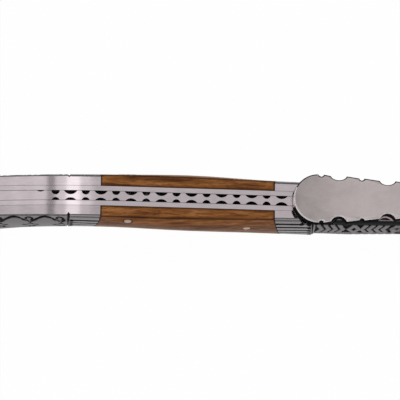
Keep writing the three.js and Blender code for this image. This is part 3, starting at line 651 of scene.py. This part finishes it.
def line(points: list[Pair], width: float) -> Stroke:
    """A stroke of one width through some points."""
    return Stroke(np.array(points, float), np.full(len(points), width))


def curl(centre: Pair, radius: float, start: float, turns: float, width: float) -> Stroke:
    """A spiral that winds inwards.

    Args:
        centre: its centre, as x and depth.
        radius: its outer radius.
        start: angle of its outer end, in degrees.
        turns: how often it winds, with the sign of its sense.
        width: half width at its outer end.

    Returns:
        The tapering stroke.
    """
    share = np.linspace(0.0, 1.0, 26)
    angle = math.radians(start) + 2 * math.pi * turns * share
    reach = radius * (1.0 - 0.82 * share)
    points = np.stack([centre[0] + reach * np.cos(angle), centre[1] + reach * np.sin(angle)], axis=1)
    return Stroke(points, width * (1.0 - 0.45 * share))


def leaf(start: Pair, end: Pair, bow: float, width: float) -> Stroke:
    """A leaf-shaped cut, bowed to one side and widest in its middle."""
    share = np.linspace(0.0, 1.0, 10)
    first, last = np.array(start), np.array(end)
    across = np.array([first[1] - last[1], last[0] - first[0]]) / np.linalg.norm(last - first)
    points = first + share[:, None] * (last - first) + (bow * np.sin(math.pi * share))[:, None] * across
    return Stroke(points, 0.12 + width * np.sin(math.pi * share) ** 0.8)


@dataclass(frozen=True)
class ScrollCarving:
    """Two engraved vines, one above the other, with hooked tendrils and leaves between them."""

    start: float = -57.4
    end: float = -30.2
    end_lean: float = 0.07
    pitch: float = 7.4
    count: int = 4
    levels: Pair = (2.9, 11.6)
    swing: float = 1.9
    lean: float = 0.1
    cut: float = 0.4
    line_width: float = 0.46
    hook_radius: float = 1.45
    hook_turns: float = 1.15
    leaf_leans: Pair = (-1.9, 1.5)
    leaf_drop: float = 2.2
    leaf_width: float = 0.45

    def vine(self, level: float, up: float) -> list[Stroke]:
        """Cuts of one vine.

        Args:
            level: its middle line, below the back.
            up: 1 where its crests rise to the back, -1 where they hang down.

        Returns:
            The stem, its tendrils and its leaves.
        """
        run = np.linspace(0.0, self.count, 12 * self.count + 1)
        turn = 2 * math.pi * run
        wave = level - up * self.swing * np.cos(turn)
        stem = np.stack([self.start + self.pitch * (run + self.lean * np.sin(turn)), wave], axis=1)
        cuts = [Stroke(stem, self.line_width * (1.0 + 0.3 * np.cos(turn + 1.2)))]
        for index in range(self.count):
            crest = self.start + self.pitch * index
            hook = (crest + 0.44 * self.pitch, level - up * 0.5 * self.swing)
            cuts.append(curl(hook, self.hook_radius, 150.0 * up, -self.hook_turns * up, self.line_width))
            root = (crest + 0.5 * self.pitch, level + up * (self.swing + 0.5))
            for lean in self.leaf_leans:
                cuts.append(leaf(root, (root[0] + lean, root[1] + up * self.leaf_drop), 0.4 * lean, self.leaf_width))
        return cuts

    def strokes(self) -> list[Stroke]:
        """All cuts of the ornament."""
        upper, lower = self.levels
        return self.vine(upper, 1.0) + self.vine(lower, -1.0)

    def relief(self, places: np.ndarray) -> tuple[np.ndarray, np.ndarray]:
        """How deep the vines are cut and how sooty they are, at rows of x and depth below the back."""
        near = np.max([stroke.nearness(places) for stroke in self.strokes()], axis=0)
        inside = places[:, 0] < self.end - self.end_lean * places[:, 1]
        share = np.where(inside, np.clip(near * 1.6, 0.0, 1.0) ** 0.7, 0.0)
        return self.cut * share, share


@dataclass(frozen=True)
class FretCarving:
    """A sunken band with raised herringbone and lozenges on it, and engraved arches under it."""

    start: float = 29.4
    end: float = 56.9
    top: float = 0.4
    high: float = 4.2
    low: float = 11.4
    bottom: float = 12.9
    spacing: float = 1.72
    chevrons: int = 4
    sink: float = 0.45
    cut: float = 0.5
    edge: float = 0.2
    rail: float = 0.46
    chevron_lean: float = 1.0
    lozenge: float = 2.6
    arch: float = 3.8
    arch_top: float = 2.0
    arch_tip: float = 5.4
    start_run: float = 0.45
    end_run: float = 0.9
    shallow: float = 0.2

    def raised(self) -> list[Stroke]:
        """What stays standing on the sunken ground."""
        high, low, wide = self.high, self.low, self.rail
        middle, half = (high + low) / 2, self.lozenge / 2
        shapes = [line([(self.start, self.bottom), (self.end, self.bottom)], 0.7 * wide)]
        left, lean = self.start + 0.7, self.chevron_lean
        while left < self.end:
            for _ in range(self.chevrons):
                shapes.append(line([(left, high), (left + lean, middle), (left, low)], wide))
                left += self.spacing
            corners = [(half, high), (self.lozenge, middle), (half, low), (0.0, middle), (half, high)]
            shapes.append(line([(left + 0.6 * lean + x, level) for x, level in corners], wide))
            left += self.lozenge + self.spacing + 0.4 * lean
            lean = -lean
        return shapes

    def engraved(self) -> list[Stroke]:
        """Lines and pointed arches cut below the band."""
        cuts = [line([(self.start, self.bottom + 1.0), (self.end + 1.0, self.bottom + 1.0)], 0.3)]
        left, half = self.start + 0.4, self.arch / 2
        while left < self.end - 2.0:
            for bow in (1.0, -1.0):
                foot = (left + half * (1.0 - bow), self.bottom + self.arch_top)
                cuts.append(leaf(foot, (left + half, self.bottom + self.arch_tip), 0.5 * bow, 0.26))
            cuts.append(leaf((left + half, self.bottom + 2.1), (left + half, self.bottom + 4.0), 0.0, 0.36))
            left += self.arch
        return cuts

    def relief(self, places: np.ndarray) -> tuple[np.ndarray, np.ndarray]:
        """How deep the ornament is cut and how sooty it is, at rows of x and depth below the back."""
        along, down = places.T
        kept = np.max([shape.nearness(places) for shape in self.raised()], axis=0)
        rise = np.clip(-kept * self.rail / self.edge, 0.0, 1.0)
        inside = (along > self.start) & (along < self.end) & (down > self.top) & (down < self.bottom)
        ground = np.where(inside, rise * rise * (3.0 - 2.0 * rise), 0.0)
        near = np.max([stroke.nearness(places) for stroke in self.engraved()], axis=0)
        share = np.maximum(ground, 0.7 * np.clip(near * 1.25, 0.0, 1.0) ** 0.75)
        sunk = ramp(along, self.start - self.start_run, self.start_run) * (1.0 - ramp(along, self.end, self.end_run))
        sunk *= ramp(down, 0.0, self.high)
        steep = ramp(down, self.high - 1.4, 0.9, self.shallow)
        return self.sink * sunk + self.cut * steep * share, share


Carving = ScrollCarving | FretCarving


@dataclass
class Bolster:
    """A carved steel bolster, refined from its CAD solid."""

    end: str
    side: Side
    carving: Carving
    pin: str
    groove: float
    lean: float
    finish: Finish = BOLSTER_STEEL
    run_step: float = 0.75
    level_step: float = 0.2
    bend: float = 15.0
    fold: float = 60.0
    margin: float = 0.2
    margin_run: float = 0.3
    flat_room: float = 0.7
    facing: float = 0.3
    under: float = -0.5
    pin_margin: float = 0.9
    pin_run: float = 0.4
    crease_grime_and_shade_reach: float = 0.8
    crease_grime_and_shade_share: float = 0.52
    groove_half: float = 0.4
    fill: float = 0.32
    fill_from: float = 3.5
    fill_run: float = 3.0
    far_fill: float = 0.8
    clean_depth: float = 0.03
    clean_run: float = 0.1
    reed_clean: float = 1.5
    reed_run: float = 0.4
    rim_depth: float = 0.35
    rim_shade: float = 0.5

    def inward(self, along: Any, depth: Any) -> Any:
        """How far places at x and a depth below the back lie from the groove towards the scale."""
        return (self.groove + self.lean * depth - along) * math.copysign(1.0, self.groove)

    def on_reeds(self, face: bmesh.types.BMFace) -> bool:
        """Whether a face lies on the reeds between the groove and the scale."""
        middle = face.calc_center_median() / MM
        depth = np.interp(self.groove, *back_line()[:2]) - middle.z
        return self.inward(middle.x, depth) > self.groove_half

    def build(self) -> None:
        """Refines the solid, carves it and dresses it."""
        node = self.side.of(f"{self.end}_bolster")
        piece, inner = Workpiece.copy_of(node, f"{node}_carved"), inner_flat(node)
        piece.to_quads()
        piece.halve(lengthwise(self.run_step, inner))
        piece.crease_sharp(self.bend, self.fold)
        piece.apply("SUBSURF", levels=2, render_levels=2)
        piece.halve(upright(self.level_step, inner))
        valley = math.radians(self.bend)
        # Grime and painted shade along the concave creases.
        piece.soil_and_shade(lambda edge: turn_of(edge) < -valley, self.crease_grime_and_shade_reach)
        self.carve(piece, inner)
        piece.shade(weighted=False)
        piece.even_back()
        piece.dress(self.finish, CARVED_STEEL, REED_STEEL)
        normals, side = [face.normal for face in piece.obj.data.polygons], self.side.value
        outer = [normal.y * side > self.facing or normal.z < self.under for normal in normals]
        piece.dress_faces(1, lambda face: outer[face.index])
        piece.dress_faces(2, lambda face: outer[face.index] and self.on_reeds(face))
        piece.place(node, Body.HANDLE, Slot.BOLSTER)

    def carve(self, piece: Workpiece, inner: float) -> None:
        """Sinks the ornament into the outer face, marks how deep it is, and paints shade in a band below the back edge.

        Args:
            piece: the refined bolster.
            inner: Y of its flat face.
        """
        mesh, side = piece.obj.data, self.side.value
        points = piece.read(mesh.vertices, "co", 3)
        facing = piece.read(mesh.vertex_normals, "vector", 3)[:, 1] * side
        outer = (np.abs(points[:, 1]) > (inner + self.flat_room) * MM) & (facing > self.facing)
        place = points[outer] / MM
        depth = depth_at(place)
        cut, darkening = self.carving.relief(np.stack([place[:, 0], depth], axis=1))
        low, high = (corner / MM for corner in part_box(self.pin))
        middle, boss = (low + high) / 2, (high.x - low.x) / 2 + self.pin_margin
        away = np.hypot(place[:, 0] - middle.x, place[:, 2] - middle.z) - boss
        share = ramp(depth, self.margin, self.margin_run) * ramp(away, 0.0, self.pin_run)
        share *= ramp(facing[outer], self.facing, self.facing)
        inward = self.inward(place[:, 0], depth)
        least = self.far_fill if self.side is Side.LEFT else 0.0
        filled = 1.0 - ramp(np.abs(inward), 0.0, self.groove_half)
        filled *= ramp(depth, self.fill_from, self.fill_run, least)
        points[outer, 1] -= (cut * share - self.fill * filled) * MM * side
        mesh.vertices.foreach_set("co", points.astype(np.float32).ravel())
        layer = mesh.attributes[GRIME_AND_SHADE].data
        soil_and_shade = piece.read(layer, "value", 1)
        soil_and_shade *= ramp(depth_at(points / MM), self.clean_depth, self.clean_run)
        reeds = inward > self.groove_half
        # Painted shade in a band just below the back edge.
        rim = 1.0 - ramp(np.abs(depth - self.rim_depth), 0.0, self.rim_depth)
        if self.side is Side.RIGHT:
            rim = np.where(reeds, 0.0, rim)
        # Off the reeds only the closest creases darken; on the reeds the grime and painted shade fade in away from the
        # back.
        close = ramp(soil_and_shade[outer], 1.0 - self.crease_grime_and_shade_share, self.crease_grime_and_shade_share)
        valley = np.where(reeds, soil_and_shade[outer] * ramp(depth, self.reed_clean, self.reed_run), close)
        soil_and_shade[outer] = np.maximum(valley, np.maximum(darkening * share, self.rim_shade * rim))
        layer.foreach_set("value", soil_and_shade)
        mesh.update()


@dataclass
class Scale:
    """A wooden scale with crisp edges along the back."""

    side: Side
    run_step: float = 1.6
    bend: float = 40.0
    fold: float = 60.0
    edge_angle: float = 30.0
    stain_reach: float = 0.45
    side_shade_depth: float = 2.0
    side_shade_run: float = 1.5
    side_shade: float = 0.52

    def build(self) -> None:
        """Refines the solid, darkens its edges, paints shade on its side and dresses it."""
        node = self.side.of("scale")
        piece = Workpiece.copy_of(node, f"{node}_wood")
        piece.to_quads()
        piece.halve(lengthwise(self.run_step, inner_flat(node)))
        piece.crease_sharp(self.bend, self.fold)
        piece.apply("SUBSURF", levels=2, render_levels=2)
        sharp = math.radians(self.edge_angle)
        piece.soil_and_shade(lambda edge: turn_of(edge) > sharp, self.stain_reach)
        self.shade_side(piece)
        piece.shade(weighted=False)
        piece.dress(HARDWOOD)
        piece.place(node, Body.HANDLE, Slot.WOOD)

    def shade_side(self, piece: Workpiece) -> None:
        """Paints shade on the side below the back."""
        mesh = piece.obj.data
        depth = depth_at(piece.read(mesh.vertices, "co", 3) / MM)
        soil_and_shade = piece.read(mesh.attributes[GRIME_AND_SHADE].data, "value", 1)
        # Painted shade on the side, growing below the back.
        soil_and_shade = np.maximum(soil_and_shade, self.side_shade * ramp(depth, self.side_shade_depth, self.side_shade_run))
        mesh.attributes[GRIME_AND_SHADE].data.foreach_set("value", soil_and_shade.astype(np.float32))


@dataclass
class Liner:
    """A steel liner, ground on its back, with painted shade on its inner face."""

    side: Side
    edge_round: float = 0.06
    inside: float = -0.9

    def build(self) -> None:
        """Rounds the edges, paints shade on the inner face and dresses the liner."""
        node = self.side.of("liner")
        piece = Workpiece.copy_of(node, f"{node}_plate", merge=0.02)
        piece.soften(self.edge_round)
        piece.shade()
        piece.even_back()
        piece.dress(BACK_STEEL, PAINTED_SHADE_STEEL)
        # The inner face gets painted shade.
        piece.dress_faces(1, lambda face: face.normal.y * self.side.value < self.inside)
        piece.place(node, Body.HANDLE, Slot.LINER)


@dataclass
class BackSpring:
    """The back spring, with scallops filed along both edges and painted shade on its walls."""

    node: str = "back_spring"
    pin: str = "spring_middle_pin"
    edge_round: float = 0.08
    slot_room: float = 0.1
    slot_run: float = 0.6
    slot_near: float = 0.2
    wall_tilt: float = 0.3
    wall_lean: float = 0.05

    def build(self) -> None:
        """Rounds the filed edges, paints shade on the walls and dresses the spring."""
        piece = Workpiece.copy_of(self.node, "back_spring_filed", merge=0.02)
        self.free_pin(piece)
        piece.soften(self.edge_round)
        self.hold_width(piece)
        piece.shade()
        piece.even_back()
        piece.dress(BACK_STEEL, PAINTED_SHADE_STEEL)
        tilt, lean = self.wall_tilt, self.wall_lean
        # The side walls and scallop walls get painted shade.
        piece.dress_faces(1, lambda face: abs(face.normal.z) < tilt and abs(face.normal.y) > lean)
        piece.place(self.node, Body.SPRING, Slot.SPRING)

    def hold_width(self, piece: Workpiece) -> None:
        """Holds the rounded edges within the thickness of the spring."""
        low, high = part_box(self.node)
        for place in piece.points():
            place.y = min(max(place.y, low.y), high.y)

    def free_pin(self, piece: Workpiece) -> None:
        """Widens the slot round the middle pin a little, so that the lifted spring stays clear of it."""
        low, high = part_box(self.pin)
        reach = (high.x - low.x) / 2 + self.slot_near * MM
        for place in piece.points():
            away = place - (low + high) / 2
            away.y = 0.0
            away.z -= min(0.0, max(-self.slot_run * MM, away.z))
            if away.length < reach:
                place += away.normalized() * self.slot_room * MM


@dataclass
class SpringPlate:
    """The wide end plate of the spring, with its round head and notched edges."""

    node: str = "spring_plate"
    edge_round: float = 0.09
    head_shift: float = 0.25
    head_run: float = 14.0
    heel: float = 2.0
    heel_facing: Pair = (-0.75, -0.36)
    wall_tilt: float = 0.3
    top_tilt: float = 0.92
    far_rim: Pair = (0.35, 0.8)
    far_notches: tuple[Triple, ...] = ((32.4, 36.7, 5.22), (44.0, 48.4, 4.3))
    notch_depth: float = 1.5
    far_fill: float = 0.27

    def build(self) -> None:
        """Rounds the chamfers and dresses the top, the walls with painted shade and the chamfers with a painted
        highlight.
        """
        piece = Workpiece.copy_of(self.node, "spring_plate_notched", merge=0.012)
        self.ease_notches(piece)
        self.draw_back(piece)
        piece.soften(self.edge_round, angle=30.0, clamp=True)
        piece.shade(angle=40.0)
        piece.dress(PLATE_STEEL, PAINTED_SHADE_WALL_STEEL, PAINTED_HIGHLIGHT_RIM_STEEL)
        wall, (far_y, far_z) = self.wall_tilt, self.far_rim
        # The walls, but for the rear wall of the head, get painted shade.
        piece.dress_faces(1, lambda face: abs(face.normal.z) < wall and not self.on_heel(face))
        # The chamfers get a painted highlight.
        piece.dress_faces(2, lambda face: wall < face.normal.z < self.top_tilt)
        # The far chamfers get painted shade, a dark line along the far edge.
        piece.dress_faces(1, lambda face: wall < face.normal.z < far_z and face.normal.y > far_y)
        piece.place(self.node, Body.SPRING, Slot.SPRING)

    def on_heel(self, face: bmesh.types.BMFace) -> bool:
        """Whether a face is on the rear wall of the head, which keeps the plate's steel instead of the painted shade of
        the other walls.
        """
        rear = face.calc_center_median().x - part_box(self.node)[0].x < self.heel * MM
        return rear and face.normal.x < self.heel_facing[0] and face.normal.y > self.heel_facing[1]

    def ease_notches(self, piece: Workpiece) -> None:
        """Makes the two broad notches of the far edge a little shallower than those of the near edge."""
        for place in piece.points():
            for start, end, edge in self.far_notches:
                depth = edge * MM - place.y
                if start * MM < place.x < end * MM and 0.0 < depth < self.notch_depth * MM:
                    place.y += self.far_fill * depth

    def draw_back(self, piece: Workpiece) -> None:
        """Draws the round head back, closer to the wall of its pocket."""
        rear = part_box(self.node)[0].x
        for place in piece.points():
            share = max(0.0, 1.0 - (place.x - rear) / (self.head_run * MM))
            place.x -= self.head_shift * MM * share * share * (3.0 - 2.0 * share)


@dataclass
class Blade:
    """The folded blade with its tang."""

    node: str = "blade"
    edge_round: float = 0.04

    def build(self) -> None:
        """Rounds the edges and dresses the blade."""
        piece = Workpiece.copy_of(self.node, "blade_ground", merge=0.01)
        piece.to_quads()
        piece.soften(self.edge_round)
        piece.shade(angle=28.0)
        piece.dress(BLADE_STEEL)
        piece.place(self.node, Body.BLADE, Slot.BLADE)


@dataclass
class RoundPin:
    """A rivet or pin across the knife with softly domed ends, turned in place of its CAD bar."""

    node: str
    finish: Finish
    slot: Slot
    cover: str = ""
    dome: float = 0.08
    edge_round: float = 0.1
    segments: int = 48
    level: float = 0.98
    insets: Pair = (0.24, 0.36)
    end_zone: float = 0.3
    probes: int = 12
    probe_ring: float = 1.3
    probe_start: float = 20.0

    def build(self) -> None:
        """Turns the pin, domes the ends that show and dresses it."""
        low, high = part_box(self.node)
        radius = (high.x - low.x) / 2
        bpy.ops.mesh.primitive_cylinder_add(
            vertices=self.segments, radius=radius, depth=high.y - low.y,
            location=(low + high) / 2, rotation=(math.pi / 2, 0.0, 0.0),
        )
        bpy.ops.object.transform_apply(location=True, rotation=True, scale=True)
        piece = Workpiece(bpy.context.active_object)
        piece.obj.name = f"{self.node}_turned"
        piece.soften(self.edge_round)
        ends = (math.copysign(1.0, low.y + high.y),) if self.cover else (1.0, -1.0)
        with piece.editing(Domain.FACE):
            piece.pick(Domain.FACE, lambda face: any(face.normal.y * end > self.level for end in ends))
            for inset in self.insets:
                bpy.ops.mesh.inset(thickness=radius * inset, use_individual=True)
                bpy.ops.transform.shrink_fatten(value=self.dome * MM / 2)
        if self.cover:
            self.file_flush(piece, (low + high) / 2, radius)
        piece.shade(angle=50.0, weighted=False)
        piece.dress(self.finish)
        piece.place(self.node, Body.HANDLE, self.slot)

    def file_flush(self, piece: Workpiece, middle: Vector, radius: float) -> None:
        """Leans the outer end so that it lies in the face of the piece round it.

        Args:
            piece: the rivet.
            middle: its middle, in metres.
            radius: its radius, in metres.
        """
        bpy.context.view_layer.update()
        cover, side = bpy.data.objects[self.cover], math.copysign(1.0, middle.y)
        rows, levels = [], []
        for turn in np.linspace(0.0, 2 * math.pi, self.probes, endpoint=False):
            across = Vector((math.cos(turn), 0.0, math.sin(turn))) * radius * self.probe_ring
            start = Vector((middle.x, side * self.probe_start * MM, middle.z)) + across
            hit, place, _, _ = cover.ray_cast(start, Vector((0.0, -side, 0.0)))
            if hit:
                rows.append((1.0, across.x, across.z))
                levels.append(place.y)
        base, lean_x, lean_z = np.linalg.lstsq(np.array(rows), np.array(levels), rcond=None)[0]
        end = max(place.y * side for place in piece.points()) - self.dome * MM
        for place in piece.points():
            if place.y * side > end - self.end_zone * MM:
                face = base + lean_x * (place.x - middle.x) + lean_z * (place.z - middle.z)
                place.y += face - side * end


@dataclass
class HiddenPins:
    """Pins and dowels inside the handle, which keep their CAD solids."""

    middle_pin: str = "spring_middle_pin"

    def dress(self) -> None:
        """Gives the CAD pins their steel, with painted shade on the middle pin."""
        dowels = [side.of(f"{end}_bolster_dowel") for end in ("front", "rear") for side in Side]
        for node in (*dowels, self.middle_pin):
            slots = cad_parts[node].data.materials
            slots.clear()
            # The middle pin gets painted shade.
            slots.append((SHADED_STEEL if node == self.middle_pin else PIN_STEEL).material())
            LOG.info("%s: dressed", node)


@dataclass(frozen=True)
class SoftBox:
    """A rectangular lamp, measured in metres, that shines evenly at a radiance, hung level or turned to an aim."""

    name: str
    place: Triple
    size: Pair
    radiance: float
    aim: Triple | None = None

    def add(self) -> None:
        """Hangs the lamp, with its first size along X where it is level."""
        bpy.ops.object.light_add(type="AREA", location=self.place)
        lamp = bpy.context.active_object
        lamp.name = self.name
        if self.aim:
            lamp.rotation_euler = (Vector(self.aim) - Vector(self.place)).to_track_quat("-Z", "Y").to_euler()
        lamp.data.shape = "RECTANGLE"
        lamp.data.size, lamp.data.size_y = self.size
        lamp.data.energy = self.radiance * math.pi * self.size[0] * self.size[1]


@dataclass
class Studio:
    """Pale floor, soft lamps and the camera of the photograph.

    The distance and the clip_start of the camera and the floor_size are in metres.
    """

    elevation: float = 78.0
    roll: float = 0.6
    distance: float = 0.6
    span: float = 95.24
    target: Triple = (1.557, -0.45, 21.5)
    sensor: float = 36.0
    clip_start: float = 0.01
    floor_size: float = 8.0
    floor_drop: float = 0.02
    zenith: float = 0.42
    zenith_from: float = 0.9
    horizon: float = 0.32
    lamps: tuple[SoftBox, ...] = (
        SoftBox("panel_rear", (-0.267, 0.15, 0.72), (0.2, 0.6), 0.5),
        SoftBox("strip_rear", (-0.191, 0.15, 0.719), (0.048, 0.6), 0.1),
        SoftBox("strip_butt", (-0.275, 0.15, 0.719), (0.022, 0.6), 0.07),
        SoftBox("panel_wide", (0.063, 0.15, 0.72), (0.396, 0.6), 0.34),
        SoftBox("strip_middle", (-0.067, 0.15, 0.719), (0.136, 0.6), 0.28),
        SoftBox("strip_bright", (-0.067, 0.15, 0.718), (0.05, 0.6), 0.66),
        SoftBox("rim_near", (-0.55, -0.7, 0.18), (0.9, 0.3), 0.45, (0.0, 0.0, 0.01)),
        SoftBox("rim_rear", (-0.75, 0.0, 0.16), (0.5, 0.3), 0.9, (0.0, 0.0, 0.02)),
    )

    def set_floor(self) -> None:
        """Lays the floor just under the knife."""
        bpy.ops.mesh.primitive_plane_add(size=self.floor_size, location=(0.0, 0.0, -self.floor_drop * MM))
        floor = bpy.context.active_object
        floor.name = "floor"
        floor.data.materials.append(StudioFinish().material())

    def set_world(self) -> None:
        """Lights the surroundings evenly, a little brighter overhead than at the horizon."""
        world = bpy.data.worlds.new("studio")
        bpy.context.scene.world = world
        world.use_nodes = True
        nodes, links = world.node_tree.nodes, world.node_tree.links
        place, parts, fade = (nodes.new(f"ShaderNode{kind}") for kind in ("TexCoord", "SeparateXYZ", "MapRange"))
        links.new(place.outputs["Generated"], parts.inputs[0])
        links.new(parts.outputs["Z"], fade.inputs["Value"])
        spans = {"From Min": 0.0, "From Max": self.zenith_from, "To Min": self.horizon, "To Max": self.zenith}
        for socket, value in spans.items():
            fade.inputs[socket].default_value = value
        links.new(fade.outputs["Result"], nodes["Background"].inputs["Strength"])
        nodes["Background"].inputs["Color"].default_value = (1.0, 1.0, 1.0, 1.0)

    def set_camera(self) -> None:
        """Aims the camera down on the back of the knife, as in the photograph."""
        aim = Vector(self.target) * MM
        tilt = math.radians(self.elevation)
        place = aim + self.distance * Vector((0.0, -math.cos(tilt), math.sin(tilt)))
        bpy.ops.object.camera_add(location=place)
        camera = bpy.context.active_object
        turn = (aim - place).to_track_quat("-Z", "Y") @ Quaternion((0.0, 0.0, 1.0), math.radians(self.roll))
        camera.rotation_euler = turn.to_euler()
        camera.data.sensor_width = self.sensor
        camera.data.lens = self.sensor * self.distance / (self.span * MM)
        camera.data.clip_start = self.clip_start
        bpy.context.scene.camera = camera

    def set_up(self) -> None:
        """Puts up the whole studio."""
        self.set_floor()
        self.set_world()
        for lamp in self.lamps:
            lamp.add()
        self.set_camera()
        bpy.context.scene.view_settings.view_transform = "Standard"
        LOG.info("studio: %d lamps", len(self.lamps))


def main() -> None:
    """Builds every piece in order, then the studio."""
    logging.basicConfig(level=logging.INFO, format="%(name)s %(message)s")
    for side, rear_finish in ((Side.LEFT, BOLSTER_STEEL), (Side.RIGHT, DARKER_STEEL)):
        Liner(side).build()
        Scale(side).build()
        rear = {"pin": "spring_rear_pin", "groove": -29.56, "lean": -0.0665, "finish": rear_finish}
        Bolster("rear", side, ScrollCarving(), **rear).build()
        Bolster("front", side, FretCarving(), pin="pivot_pin", groove=28.56, lean=0.0284).build()
        for place in ("rear", "front"):
            RoundPin(side.of(f"scale_rivet_{place}"), RIVET_METAL, Slot.RIVET, side.of("scale") + "_wood").build()
    # The pivot pin gets painted shade.
    for node, finish in (("pivot_pin", SHADED_STEEL), ("spring_rear_pin", PIN_STEEL)):
        RoundPin(node, finish, Slot.PIN, dome=0.16).build()
    BackSpring().build()
    SpringPlate().build()
    Blade().build()
    HiddenPins().dress()
    Studio().set_up()


if __name__ == "__main__":
    main()
